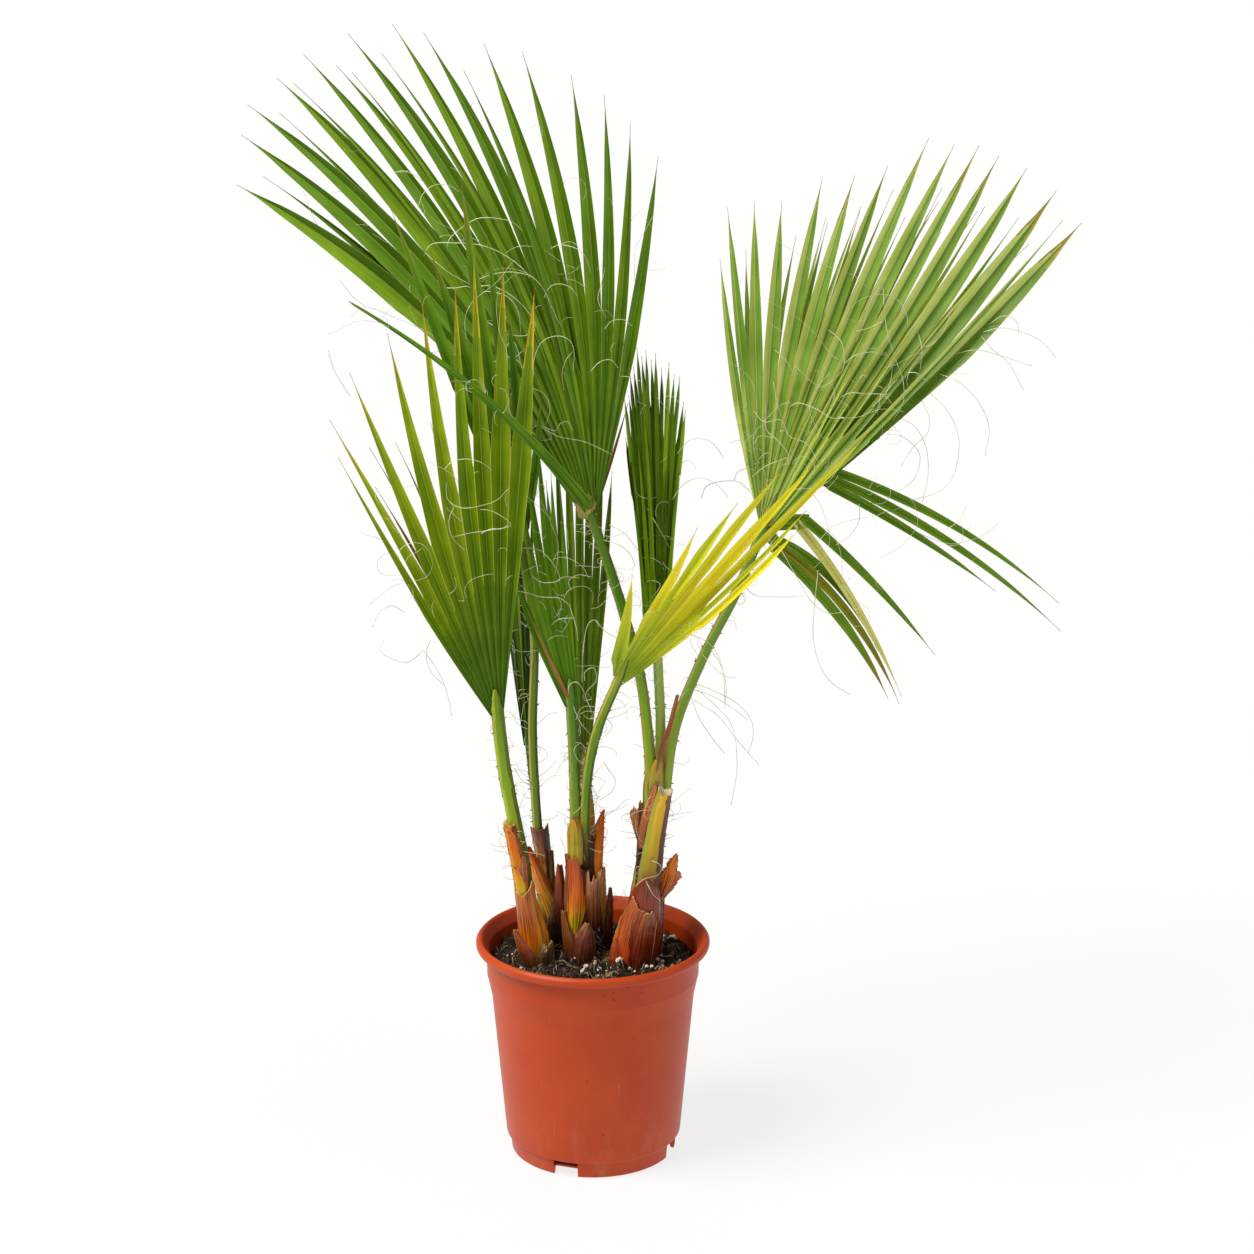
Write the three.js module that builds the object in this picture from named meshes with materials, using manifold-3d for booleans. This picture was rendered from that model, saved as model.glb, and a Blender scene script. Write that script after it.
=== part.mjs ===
// A young fan palm clump in a round plastic nursery pot: four short stems in leaf sheaths, nine petioles
// and nine pleated fan leaves. Millimetres, +Z up, the viewer stands at -Y. The origin is the centre of
// the pot's flat underside.
import * as THREE from "three";
import { mergeVertices } from "three/addons/utils/BufferGeometryUtils.js";
import Module from "manifold-3d";

const wasm = await Module();
wasm.setup();

// Pot: a 24 cm container with a rolled lip, a collar under it and a stepped foot.
const potHeight = 231;
const rimRadius = 120;
const lipHeight = 10;
const lipInnerRadius = 112.6;
const collarRadius = 108.8;
const collarBottom = 192;
const coneBottom = 170;
const coneRadius = 104;
const footHeight = 18;
const footTopRadius = 90.4;
const footRadius = 85.2;
const wall = 2.6;
const floorThickness = 3;
const discRadius = 60;
const ringFloor = 6;
const notch = { width: 26, height: 16, inner: 77, outer: 97, first: -109, count: 4 };
const drainHole = { radius: 5, at: 71 };
const potSegments = 40;

// Soil: fills the pot to a level a little under the rim.
const soilLevel = 205;
const soilFlatRadius = 96;

// Touching pieces keep this gap, and a piece is sunk this far before its neighbour is cut out of it.
const gap = 0.3;
const sink = 4;

const colours = {
  pot: 0xc65a33,
  soil: 0x2b211a,
  stem: 0x7a4a2a,
  sheath: 0xa85c22,
  darkSheath: 0x5c2a20,
  petiole: 0x7fa02e,
  leaf: 0x4f7d1c,
  paleLeaf: 0x7d9c44,
  darkLeaf: 0x2f5512,
  yellowLeaf: 0xc2c81f,
};

const materialOf = (colour, roughness) =>
  new THREE.MeshStandardMaterial({ color: colour, roughness, metalness: 0 });

const radians = THREE.MathUtils.degToRad;
const lerp = THREE.MathUtils.lerp;

// A closed geometry as a solid, from its positions alone.
function solidOf(geometry) {
  const bare = geometry.clone();
  bare.deleteAttribute("normal");
  bare.deleteAttribute("uv");
  const merged = mergeVertices(bare, 1e-4);
  return new wasm.Manifold(
    new wasm.Mesh({
      numProp: 3,
      vertProperties: new Float32Array(merged.attributes.position.array),
      triVerts: new Uint32Array(merged.index.array),
    }),
  );
}

// The largest body of a solid, back as a geometry.
function geometryOf(solid) {
  const bodies = solid.decompose();
  bodies.sort((a, b) => b.volume() - a.volume());
  const mesh = bodies[0].getMesh();
  const geometry = new THREE.BufferGeometry();
  geometry.setAttribute("position", new THREE.BufferAttribute(mesh.vertProperties, 3));
  geometry.setIndex(new THREE.BufferAttribute(mesh.triVerts, 1));
  geometry.computeVertexNormals();
  return geometry;
}

// Collects corners and faces; a face given as four corners is split into two triangles.
function meshBuilder() {
  const positions = [];
  const index = [];
  return {
    corner(point) {
      positions.push(point.x, point.y, point.z);
      return positions.length / 3 - 1;
    },
    face(a, b, c, d) {
      index.push(a, b, c);
      if (d !== undefined) index.push(a, c, d);
    },
    geometry() {
      const geometry = new THREE.BufferGeometry();
      geometry.setAttribute("position", new THREE.Float32BufferAttribute(positions, 3));
      geometry.setIndex(index);
      return geometry;
    },
  };
}

// A closed profile of [radius, height] pairs from axis to axis, turned about the Z axis.
function turned(profile) {
  const points = profile.map(([radius, height]) => new THREE.Vector2(radius, height));
  return new THREE.LatheGeometry(points, potSegments).rotateX(Math.PI / 2);
}

// Pot: up the outside, over the lip and down the inside; notches and drain holes are cut out.
function potGeometry() {
  const lipBottom = potHeight - lipHeight;
  const profile = [
    [0, 0],
    [discRadius, 0],
    [discRadius + 2, ringFloor],
    [footRadius - wall - 3, ringFloor],
    [footRadius - wall - 1, 0],
    [footRadius, 0],
    [footRadius + 1.4, footHeight - 1.5],
    [footTopRadius, footHeight],
    [coneRadius, coneBottom],
    [collarRadius - 0.6, collarBottom - 1.5],
    [collarRadius, collarBottom],
    [collarRadius + 0.6, lipBottom],
    [rimRadius - 1.6, lipBottom],
    [rimRadius, lipBottom + 1.8],
    [rimRadius, potHeight - 3],
    [rimRadius - 1.8, potHeight - 0.5],
    [rimRadius - 3.4, potHeight],
    [lipInnerRadius + 1.4, potHeight],
    [lipInnerRadius, potHeight - 1.6],
    [collarRadius + 0.6 - wall, lipBottom - 2],
    [collarRadius - wall, collarBottom],
    [coneRadius - wall, coneBottom],
    [footRadius + 1.2 - wall, ringFloor + floorThickness],
    [discRadius - 0.5, ringFloor + floorThickness],
    [discRadius - 2.5, floorThickness],
    [0, floorThickness],
  ];
  let pot = solidOf(turned(profile));
  for (let i = 0; i < notch.count; i++) {
    const turn = radians(notch.first + (i * 360) / notch.count);
    const slot = new THREE.BoxGeometry(notch.outer - notch.inner, notch.width, 2 * notch.height);
    slot.translate((notch.outer + notch.inner) / 2, 0, 0).rotateZ(turn);
    const hole = new THREE.CylinderGeometry(drainHole.radius, drainHole.radius, 12, 16);
    hole.rotateX(Math.PI / 2).translate(drainHole.at, 0, ringFloor);
    hole.rotateZ(turn + Math.PI / notch.count);
    pot = pot.subtract(solidOf(slot)).subtract(solidOf(hole));
  }
  return geometryOf(pot);
}

// Soil: the pot's inside less the gap, with a level top that falls off a little at the wall.
function soilGeometry(grow = 0) {
  const side = wall + gap - grow;
  const base = floorThickness + gap - grow;
  return turned([
    [0, base],
    [discRadius - 2.8, base],
    [discRadius - 0.8, base + ringFloor],
    [footRadius + 1.2 - side, base + ringFloor],
    [coneRadius - side, coneBottom],
    [collarRadius - 0.2 - side, collarBottom],
    [collarRadius - 0.2 - side, soilLevel - 4 + grow],
    [soilFlatRadius, soilLevel + grow],
    [0, soilLevel + grow],
  ]);
}

// A limb: flattened rings carried along a smooth curve through stations [x, y, z, half width, half
// thickness]. The width runs across the view and the ends are flat caps.
function limb(stations, { sides = 8, steps = 2 } = {}, grow = 0) {
  const curve = new THREE.CatmullRomCurve3(stations.map(([x, y, z]) => new THREE.Vector3(x, y, z)));
  const count = (stations.length - 1) * steps;
  const build = meshBuilder();
  const viewer = new THREE.Vector3(0, -1, 0);
  const rings = [];
  const ends = [];
  for (let k = 0; k <= count; k++) {
    const place = k / count;
    const centre = curve.getPoint(place);
    const along = curve.getTangent(place);
    if (k === 0 || k === count) centre.addScaledVector(along, k === 0 ? -grow : grow);
    const across = new THREE.Vector3().crossVectors(along, viewer).normalize();
    const front = new THREE.Vector3().crossVectors(across, along).normalize();
    const span = place * (stations.length - 1);
    const low = Math.min(Math.floor(span), stations.length - 2);
    const width = lerp(stations[low][3], stations[low + 1][3], span - low) + grow;
    const depth = lerp(stations[low][4], stations[low + 1][4], span - low) + grow;
    const ring = [];
    for (let j = 0; j < sides; j++) {
      const turn = (2 * Math.PI * (j + 0.5)) / sides;
      const point = centre.clone().addScaledVector(across, width * Math.cos(turn));
      ring.push(build.corner(point.addScaledVector(front, -depth * Math.sin(turn))));
    }
    rings.push(ring);
    if (k === 0 || k === count) ends.push(build.corner(centre));
  }
  for (let j = 0; j < sides; j++) {
    const next = (j + 1) % sides;
    for (let k = 0; k < count; k++) {
      build.face(rings[k][j], rings[k][next], rings[k + 1][next], rings[k + 1][j]);
    }
    build.face(ends[0], rings[0][next], rings[0][j]);
    build.face(ends[1], rings[count][j], rings[count][next]);
  }
  return build.geometry();
}

// A leaf sheath: a curved plate round an axis from foot to top. It faces an azimuth (0 is the viewer, 90
// is +X), wraps half the angle `wrap` at its foot and narrows to the share `crown` of that at its top.
function sheath(shape, grow = 0) {
  const { foot, top, radius, face, wrap, crown, taper = 2, flare = 0, thick = 2.4 } = shape;
  const rows = 5;
  const columns = 5;
  const build = meshBuilder();
  const sheets = [0, 1].map((inner) => {
    const grid = [];
    for (let k = 0; k <= rows; k++) {
      const rise = k / rows;
      const height = lerp(foot[2] - grow, top[2] + grow, rise);
      const belly = lerp(radius[0], radius[1], rise) + flare * rise ** 3;
      const reach = inner ? belly - thick - grow : belly + grow;
      const half = wrap * lerp(1, crown, rise ** taper) + (grow / belly) * (180 / Math.PI);
      const line = [];
      for (let j = 0; j <= columns; j++) {
        const turn = radians(face + half * ((2 * j) / columns - 1));
        const point = new THREE.Vector3(
          lerp(foot[0], top[0], rise) + reach * Math.sin(turn),
          lerp(foot[1], top[1], rise) - reach * Math.cos(turn),
          height,
        );
        line.push(build.corner(point));
      }
      grid.push(line);
    }
    return grid;
  });
  const [outer, inner] = sheets;
  for (let k = 0; k < rows; k++) {
    for (let j = 0; j < columns; j++) {
      build.face(outer[k][j], outer[k][j + 1], outer[k + 1][j + 1], outer[k + 1][j]);
      build.face(inner[k][j], inner[k + 1][j], inner[k + 1][j + 1], inner[k][j + 1]);
    }
    build.face(outer[k][0], outer[k + 1][0], inner[k + 1][0], inner[k][0]);
    build.face(outer[k][columns], inner[k][columns], inner[k + 1][columns], outer[k + 1][columns]);
  }
  for (let j = 0; j < columns; j++) {
    build.face(outer[0][j], inner[0][j], inner[0][j + 1], outer[0][j + 1]);
    build.face(outer[rows][j], outer[rows][j + 1], inner[rows][j + 1], inner[rows][j]);
  }
  return build.geometry();
}

// A fan leaf: leaflets side by side from the hub. Each midrib is a quadratic curve that leaves the hub at
// its base bearing and ends at its tip, [bearing in degrees from upright, reach]. Neighbours share an
// edge up to the split and stand free beyond it, narrowing to a point. The midrib is the bottom of each
// pleat and the shared edges are its crests, towards the viewer. Depth away from the viewer is
// lean u + bow u^2 + twist s u + cup s^2 u, with u the share of the reach and s from -1 to 1 across.
const rowsOfFan = [0, 0.15, 0.3, 0.45, 0.58, 0.72, 0.86, 1];
const fold = { hub: 58, tip: 30 };
const bladeShare = 0.01;
const tipThinning = 0.6;
const lancet = { share: 0.86, power: 0.85, clear: 0.44 };

function fan(leaf, grow = 0) {
  const { hub, base, tips, split, root = 6, pull = 0.5, widest = 0 } = leaf;
  const { lean = 0, bow = 0, twist = 0, cup = 0 } = leaf;
  const count = tips.length;
  const last = rowsOfFan.length - 1;
  const thick = Math.max(...tips.map((tip) => tip[1])) * bladeShare;
  const middle = radians((base[0] + base[1]) / 2);
  const acrossOf = (i) => (2 * i) / (count - 1) - 1;
  const depthOf = (s, u) => lean * u + bow * u * u + twist * s * u + cup * s * s * u;

  // The midrib of leaflet i at the share u of its length, as [x, z] from the hub.
  function midrib(i, u) {
    const s = acrossOf(i);
    const start = radians(lerp(base[0], base[1], (s + 1) / 2));
    const end = radians(tips[i][0]);
    const near = 2 * u * (1 - u) * pull * tips[i][1];
    const far = u * u * tips[i][1];
    const rooted = new THREE.Vector2(Math.cos(middle), -Math.sin(middle)).multiplyScalar(s * root * (1 - u));
    const x = near * Math.sin(start) + far * Math.sin(end);
    return rooted.add(new THREE.Vector2(x, near * Math.cos(start) + far * Math.cos(end)));
  }
  const mids = tips.map((tip, i) => rowsOfFan.map((u) => midrib(i, u)));
  // The crest between leaflets i and i + 1; past either end it mirrors the last one.
  function crest(i, k) {
    if (i < 0) return mids[0][k].clone().multiplyScalar(1.5).addScaledVector(mids[1][k], -0.5);
    if (i === count - 1) {
      return mids[i][k].clone().multiplyScalar(1.5).addScaledVector(mids[i - 1][k], -0.5);
    }
    return mids[i][k].clone().add(mids[i + 1][k]).multiplyScalar(0.5);
  }
  const splitRow = (i) => {
    const share = lerp(split[0], split[1], (i + 0.5) / Math.max(1, count - 1));
    const early = leaf.freeFirst && i === 0 ? leaf.freeFirst : share;
    return Math.max(1, rowsOfFan.findIndex((u) => u >= early - 1e-6));
  };
  const shared = (i, k) => i >= 0 && i < count - 1 && k <= splitRow(i);
  const build = meshBuilder();
  const pleatOf = (half, u) => half * Math.tan(radians(lerp(fold.hub, fold.tip, u)));

  // The front and back corners over a plane point, pushed along the view by the pleat.
  function pair(flat, s, u, pleat) {
    const half = (thick * (1 - tipThinning * u ** 3)) / 2 + grow;
    const y = hub[1] + depthOf(s, u) + pleat;
    const at = (depth) => new THREE.Vector3(hub[0] + flat.x, depth, hub[2] + flat.y);
    return [build.corner(at(y - half)), build.corner(at(y + half))];
  }
  // How far leaflet i reaches to either side of its midrib at row k once it stands free.
  function freeHalf(i, k) {
    const from = Math.min(i > 0 ? splitRow(i - 1) : last, i < count - 1 ? splitRow(i) : last);
    const start = Math.min(from, last - 2);
    const spacing = (row) => {
      const gaps = [i - 1, i + 1]
        .filter((n) => n >= 0 && n < count)
        .map((n) => {
          const along = mids[i][Math.min(row + 1, last)].clone().sub(mids[i][row - 1]).normalize();
          return Math.abs(mids[n][row].clone().sub(mids[i][row]).cross(along));
        });
      return Math.min(...gaps);
    };
    const taper = ((1 - rowsOfFan[k]) / (1 - rowsOfFan[start])) ** lancet.power;
    const full = (spacing(start) / 2) * lancet.share;
    return Math.max(Math.min(full * taper, spacing(k) * lancet.clear), widest * taper);
  }
  // Left and right corners of each leaflet at each row; a shared crest is made once.
  const crests = new Map();
  function sideCorners(i, k, side) {
    const crestIndex = side < 0 ? i - 1 : i;
    const u = rowsOfFan[k];
    const spread = mids[Math.min(i, count - 2) + 1][k].distanceTo(mids[Math.min(i, count - 2)][k]) / 2;
    const outside = crestIndex < 0 || crestIndex === count - 1;
    const joined = shared(crestIndex, k) || (outside && k <= splitRow(side < 0 ? 0 : count - 2));
    if (joined) {
      const key = crestIndex + ":" + k;
      if (!crests.has(key)) {
        const s = (2 * (crestIndex + 0.5)) / (count - 1) - 1;
        const flat = crest(crestIndex, k);
        if (outside) flat.x += side * grow;
        crests.set(key, pair(flat, THREE.MathUtils.clamp(s, -1, 1), u, -pleatOf(spread, u) / 2));
      }
      return crests.get(key);
    }
    const half = freeHalf(i, k) + grow;
    const along = mids[i][Math.min(k + 1, last)].clone().sub(mids[i][k - 1]).normalize();
    const sideways = new THREE.Vector2(along.y, -along.x).multiplyScalar(side * half);
    return pair(mids[i][k].clone().add(sideways), acrossOf(i), u, -pleatOf(half, u) / 2);
  }
  const cells = tips.map((tip, i) =>
    rowsOfFan.slice(0, last).map((u, k) => {
      const spread = k > 0 && !shared(i, k) ? freeHalf(i, k) : crest(i, k).distanceTo(mids[i][k]);
      return {
        left: sideCorners(i, k, -1),
        middle: pair(mids[i][k], acrossOf(i), u, pleatOf(spread, u) / 2),
        right: sideCorners(i, k, 1),
      };
    }),
  );
  const wallOf = (a, b, side) => {
    if (side > 0) build.face(a[0], a[1], b[1], b[0]);
    else build.face(a[0], b[0], b[1], a[1]);
  };
  cells.forEach((rows, i) => {
    for (let k = 0; k < last - 1; k++) {
      const here = rows[k];
      const next = rows[k + 1];
      for (const [a, b] of [["left", "middle"], ["middle", "right"]]) {
        build.face(here[a][0], here[b][0], next[b][0], next[a][0]);
        build.face(here[a][1], next[a][1], next[b][1], here[b][1]);
      }
      if (!(shared(i - 1, k) && shared(i - 1, k + 1))) wallOf(here.left, next.left, -1);
      if (!(shared(i, k) && shared(i, k + 1))) wallOf(here.right, next.right, 1);
    }
    const end = rows[last - 1];
    const point = mids[i][last].clone();
    point.addScaledVector(point.clone().normalize(), grow);
    const tip = pair(point, acrossOf(i), 1, 0);
    build.face(end.left[0], end.middle[0], tip[0]);
    build.face(end.middle[0], end.right[0], tip[0]);
    build.face(end.middle[1], end.left[1], tip[1]);
    build.face(end.right[1], end.middle[1], tip[1]);
    wallOf(end.left, tip, -1);
    wallOf(end.right, tip, 1);
    const start = rows[0];
    build.face(start.left[0], start.left[1], start.middle[1], start.middle[0]);
    build.face(start.middle[0], start.middle[1], start.right[1], start.right[0]);
  });
  return build.geometry();
}

// Stems: from the soil to where their petioles part.
const stems = {
  stem_left: [[-62, 1, soilLevel - sink, 14, 13], [-64, 1, 235, 12, 11], [-67, 2, 268, 9.5, 8.5]],
  stem_left_mid: [[-45, 34, soilLevel - sink, 12, 13], [-48, 36, 245, 10, 12], [-51, 37, 290, 8, 11]],
  stem_middle: [[-14, 22, soilLevel - sink, 15, 20], [-14, 20, 250, 13, 20], [-13, 19, 300, 12, 20]],
  stem_right: [[48, 9, soilLevel - sink, 24, 21], [53, 8, 262, 17, 16], [60, 8, 325, 13, 14], [67, 8, 385, 12, 13]],
};

// Petioles: each from its stem to the hub of its leaf; the last station lies inside the blade's root.
const petioles = {
  petiole_front_left: {
    on: "stem_left",
    stations: [
      [-67, 2, 268 - sink, 8, 5.5], [-72, 0, 315, 7.5, 5], [-82, -10, 376, 7, 4.6],
      [-89, -19, 425, 6.8, 4.2], [-94, -30, 484, 6.5, 3.6],
    ],
  },
  petiole_back_left: {
    on: "stem_left_mid",
    stations: [
      [-51, 32, 290 - sink, 6, 4.5], [-57, 31, 340, 5, 4], [-61, 27, 440, 4.6, 3.6],
      [-58, 18, 541, 4.4, 3.2], [-65, 8, 610, 4.2, 3], [-69, 5, 656, 4, 2.6],
    ],
  },
  petiole_narrow_left: {
    on: "stem_left_mid",
    stations: [[-50, 43, 290 - sink, 4, 3], [-58, 45, 345, 3.4, 2.8], [-67, 46, 428, 3, 2.4]],
  },
  petiole_middle: {
    on: "stem_middle",
    stations: [
      [-17, 17, 300 - sink, 7, 4.5], [-17, 14, 350, 6.5, 4.2], [-18, 5, 410, 6, 4], [-21, -12, 490, 5.5, 3.2],
    ],
  },
  petiole_middle_back: {
    on: "stem_middle",
    stations: [[-7, 33, 300 - sink, 5.5, 4], [-3, 38, 345, 5, 3.6], [-9, 46, 398, 4.4, 3]],
  },
  petiole_yellow: {
    on: "stem_middle",
    stations: [
      [-12, 4, 300 - sink, 5.5, 4], [-12, 1, 350, 5.2, 4], [-4, -10, 411, 5, 3.8],
      [12, -29, 471, 5, 3.6], [37, -49, 537, 4.6, 3.2],
    ],
  },
  petiole_top_left: {
    on: "stem_right",
    stations: [
      [60, 2, 385 - sink, 6, 4.2], [57, 0, 437, 5.6, 4], [49, -9, 507, 5.2, 3.8],
      [33, -17, 575, 5, 3.5], [17, -20, 628, 5, 3.2], [-3, -20, 688, 4.6, 2.8],
    ],
  },
  petiole_spear: {
    on: "stem_right",
    stations: [[67, 17, 385 - sink, 5.5, 4], [69, 17, 450, 5, 3.8], [65, 18, 540, 4.6, 3.2]],
  },
  petiole_right: {
    on: "stem_right",
    stations: [
      [73, 4, 385 - sink, 5.6, 4.2], [83, 10, 450, 5.4, 4], [110, 24, 518, 5.2, 3.8],
      [148, 40, 592, 5, 3.6], [177, 51, 664, 4.6, 3],
    ],
  },
};

// Fan leaves: hub, bearings of the outer leaflets at the hub, and each leaflet's tip.
const leaves = {
  leaf_top_left: {
    on: "petiole_top_left",
    hub: [-1, -20, 680],
    base: [-34, 14],
    split: [0.58, 0.45],
    lean: 150,
    bow: -40,
    twist: -40,
    tips: [
      [-49.5, 466], [-44.5, 495], [-41.5, 512], [-37, 513], [-33, 517], [-30.5, 491], [-27.5, 512], [-22.5, 502],
      [-19.5, 484], [-13, 458], [-8.5, 444], [-2.5, 418], [2, 399], [6, 375], [11, 347],
    ],
  },
  leaf_top_left_edge: {
    on: "leaf_top_left",
    hub: [-4, -25, 684],
    base: [-44, -40],
    split: [0.86, 0.86],
    lean: -135,
    bow: 65,
    root: 3,
    tips: [[-45, 315], [-43, 333]],
  },
  leaf_front_left: {
    on: "petiole_front_left",
    hub: [-94, -30, 478],
    base: [-31, 5],
    split: [0.58, 0.58],
    lean: -22,
    bow: 8,
    root: 7,
    tips: [
      [-29.5, 304], [-27.5, 340], [-21.5, 374], [-14.5, 399], [-9, 426], [-4.5, 439], [-2, 467], [1.5, 456],
      [5.5, 432],
    ],
  },
  leaf_middle: {
    on: "petiole_middle",
    hub: [-20, -12, 482],
    base: [-24, -4],
    split: [0.58, 0.58],
    lean: -12,
    tips: [[-22, 156], [-17, 200], [-12.5, 238], [-9.5, 263], [-6.5, 277], [-4.5, 243], [-3, 192]],
  },
  leaf_middle_back: {
    on: "petiole_middle_back",
    hub: [-10, 46, 389],
    base: [-8, 6],
    split: [0.58, 0.58],
    lean: 20,
    bow: 20,
    root: 4,
    tips: [[-7, 304], [-4.5, 344], [-2.5, 364], [-0.5, 376], [1.5, 369], [3.5, 343], [5.5, 313]],
  },
  leaf_narrow_left: {
    on: "petiole_narrow_left",
    hub: [-67, 46, 421],
    base: [-8, 2],
    split: [0.58, 0.58],
    lean: 20,
    bow: 20,
    root: 3,
    tips: [[-7.5, 187], [-5, 239], [-3.2, 280], [-1.5, 300], [0, 288], [1.2, 248]],
  },
  leaf_back_left: {
    on: "petiole_back_left",
    hub: [-69, 8, 648],
    base: [-20, 10],
    split: [0.45, 0.45],
    lean: -30,
    root: 4,
    tips: [[-20, 355], [-16, 305], [-8.5, 364], [-5.5, 308], [-2.5, 245], [2, 201], [8, 148]],
  },
  leaf_right: {
    on: "petiole_right",
    hub: [174, 50, 652],
    base: [-13, 50],
    split: [0.45, 0.58],
    lean: 70,
    twist: -20,
    cup: 20,
    tips: [
      [-10, 256], [-7, 308], [-2, 313], [3, 313], [9.5, 342], [14.5, 352], [19, 371], [23, 411], [26.5, 416],
      [29.5, 427], [32.5, 429], [36.5, 435], [41.5, 436], [47, 432],
    ],
  },
  leaf_right_droop: {
    on: "leaf_right",
    hub: [176, 54, 652],
    base: [42, 54],
    split: [0.15, 0.15],
    lean: 80,
    twist: 14,
    root: 3,
    pull: 0.38,
    widest: 5.5,
    tips: [[108.5, 343], [112.5, 290], [115.5, 351]],
  },
  leaf_right_hang: {
    on: "leaf_right",
    beside: "leaf_right_droop",
    hub: [174, 54, 647],
    base: [118, 138],
    split: [0.3, 0.3],
    lean: 50,
    root: 2,
    tips: [[130.5, 240], [141, 254], [148, 256]],
  },
  leaf_yellow: {
    on: "petiole_yellow",
    hub: [33, -48, 530],
    base: [-4, 55],
    split: [0.45, 0.58],
    freeFirst: 0.3,
    lean: -60,
    bow: -10,
    tips: [[5, 117], [22, 171], [29.5, 215], [34.5, 258], [38.5, 277], [42, 312], [47, 240]],
  },
  leaf_spear: {
    on: "petiole_spear",
    hub: [64, 18, 529],
    base: [-4, 4],
    split: [0.72, 0.72],
    lean: 10,
    root: 10,
    tips: [[-7, 261], [-5.3, 285], [-3.6, 309], [-2, 306], [-0.2, 302], [2.4, 294], [4.7, 281], [6.7, 248]],
  },
};

// Cut stubs of old leaf stalks, each with a flat cut top.
const stubs = {
  stub_left: {
    on: ["stem_left", "petiole_front_left"],
    stations: [[-62, -14, 250, 8, 5], [-68, -14, 285, 8, 5.5], [-76, -13, 320, 6.5, 5], [-82, -12, 352, 6, 5]],
  },
  stub_middle: {
    on: ["stem_middle", "petiole_middle_back"],
    stations: [[4, 20, 252, 5, 6], [6, 22, 300, 5, 5], [12, 24, 340, 3.5, 3], [17, 24, 368, 2.5, 2]],
  },
  stub_right: {
    on: ["stem_right", "petiole_top_left", "petiole_right"],
    stations: [[52, -14, 262, 12, 8], [60, -13, 320, 10, 8], [70, -13, 379, 8, 6.5]],
  },
};

// Leaf sheaths and torn bases, from the innermost out.
const sheaths = {
  sheath_right_tip: {
    on: "stem_right", foot: [61, 8, 330], top: [68, 4, 408], radius: [16.5, 14], face: -8, wrap: 50, crown: 0.1,
  },
  sheath_right_flap: {
    on: "stem_right", foot: [56, 8, 288], top: [56, 6, 372], radius: [18, 19], face: -75, wrap: 38, crown: 0.2,
    flare: 6,
  },
  sheath_right_torn: {
    on: "stem_right", foot: [56, 8, 240], top: [62, 8, 322], radius: [20, 20], face: 78, wrap: 32, crown: 0.7,
    flare: 12, taper: 1, thick: 2,
  },
  sheath_right_belly: {
    on: "stem_right", foot: [49, 9, soilLevel - sink], top: [56, 8, 290], radius: [28, 19.5], face: -25, wrap: 75,
    crown: 0.12, taper: 1.6, thick: 3,
  },
  sheath_right_foot: {
    on: "stem_right", foot: [47, 8, soilLevel - sink], top: [52, 8, 252], radius: [32, 25.5], face: -60, wrap: 50,
    crown: 0.1, thick: 2.6,
  },
  sheath_right_side: {
    on: "stem_right", foot: [48, 9, soilLevel - sink], top: [54, 8, 275], radius: [28.5, 20], face: 65, wrap: 40,
    crown: 0.25, thick: 2.6,
  },
  sheath_left_upper: {
    on: "stem_left", foot: [-62, 1, soilLevel - sink], top: [-65, 1, 278], radius: [18.5, 14.5], face: -10,
    wrap: 80, crown: 0.25, taper: 3,
  },
  sheath_left_foot: {
    on: "stem_left", foot: [-61, 1, soilLevel - sink], top: [-60, 1, 236], radius: [21.5, 21], face: 45, wrap: 60,
    crown: 0.1, taper: 1.4,
  },
  sheath_left_side: {
    on: "stem_left", foot: [-62, 1, soilLevel - sink], top: [-66, 1, 240], radius: [21.5, 20], face: -70, wrap: 48,
    crown: 0.1, taper: 1.4, flare: 3,
  },
  sheath_left_mid_point: {
    on: "stem_left_mid", foot: [-46, 34, 225], top: [-55, 35, 318], radius: [14.5, 12.5], face: -50, wrap: 70,
    crown: 0.08, taper: 1.3, flare: 6,
  },
  sheath_left_mid_foot: {
    on: "stem_left_mid", foot: [-45, 34, soilLevel - sink], top: [-48, 35, 252], radius: [17.5, 16], face: 20,
    wrap: 85, crown: 0.3, taper: 1.5,
  },
  sheath_middle_front: {
    on: "stem_middle", foot: [-13, 18, 216], top: [-13, 14, 318], radius: [20.5, 17.5], face: -6, wrap: 44,
    crown: 0.85, taper: 1, thick: 3,
  },
  sheath_middle_left: {
    on: "stem_middle", foot: [-15, 22, 220], top: [-22, 22, 300], radius: [18, 14], face: -80, wrap: 34, crown: 0.1,
    taper: 1.4, flare: 4,
  },
  sheath_middle_right: {
    on: "stem_middle", foot: [-13, 20, 215], top: [-8, 18, 298], radius: [20, 20], face: 62, wrap: 28, crown: 0.3,
    taper: 1.5, flare: 3,
  },
  sheath_middle_foot: {
    on: "stem_middle", foot: [-12, 20, soilLevel - sink], top: [-10, 16, 246], radius: [25, 23.5], face: 18, wrap: 62,
    crown: 0.12, taper: 1.5, thick: 3,
  },
};

// Builds a piece and cuts every neighbour, grown by the gap, out of it.
const growers = new Map();
const palm = new THREE.Group();

function addPiece(name, grower, cutters, material) {
  let geometry = grower(0);
  if (cutters.length) {
    let solid = solidOf(geometry);
    for (const cutter of cutters) solid = solid.subtract(solidOf(growers.get(cutter)(gap)));
    geometry = geometryOf(solid);
  }
  const mesh = new THREE.Mesh(geometry, material);
  mesh.name = name;
  growers.set(name, grower);
  palm.add(mesh);
}

const pot = new THREE.Mesh(potGeometry(), materialOf(colours.pot, 0.5));
pot.name = "pot";
palm.add(pot);
addPiece("soil", soilGeometry, [], materialOf(colours.soil, 0.95));

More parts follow.
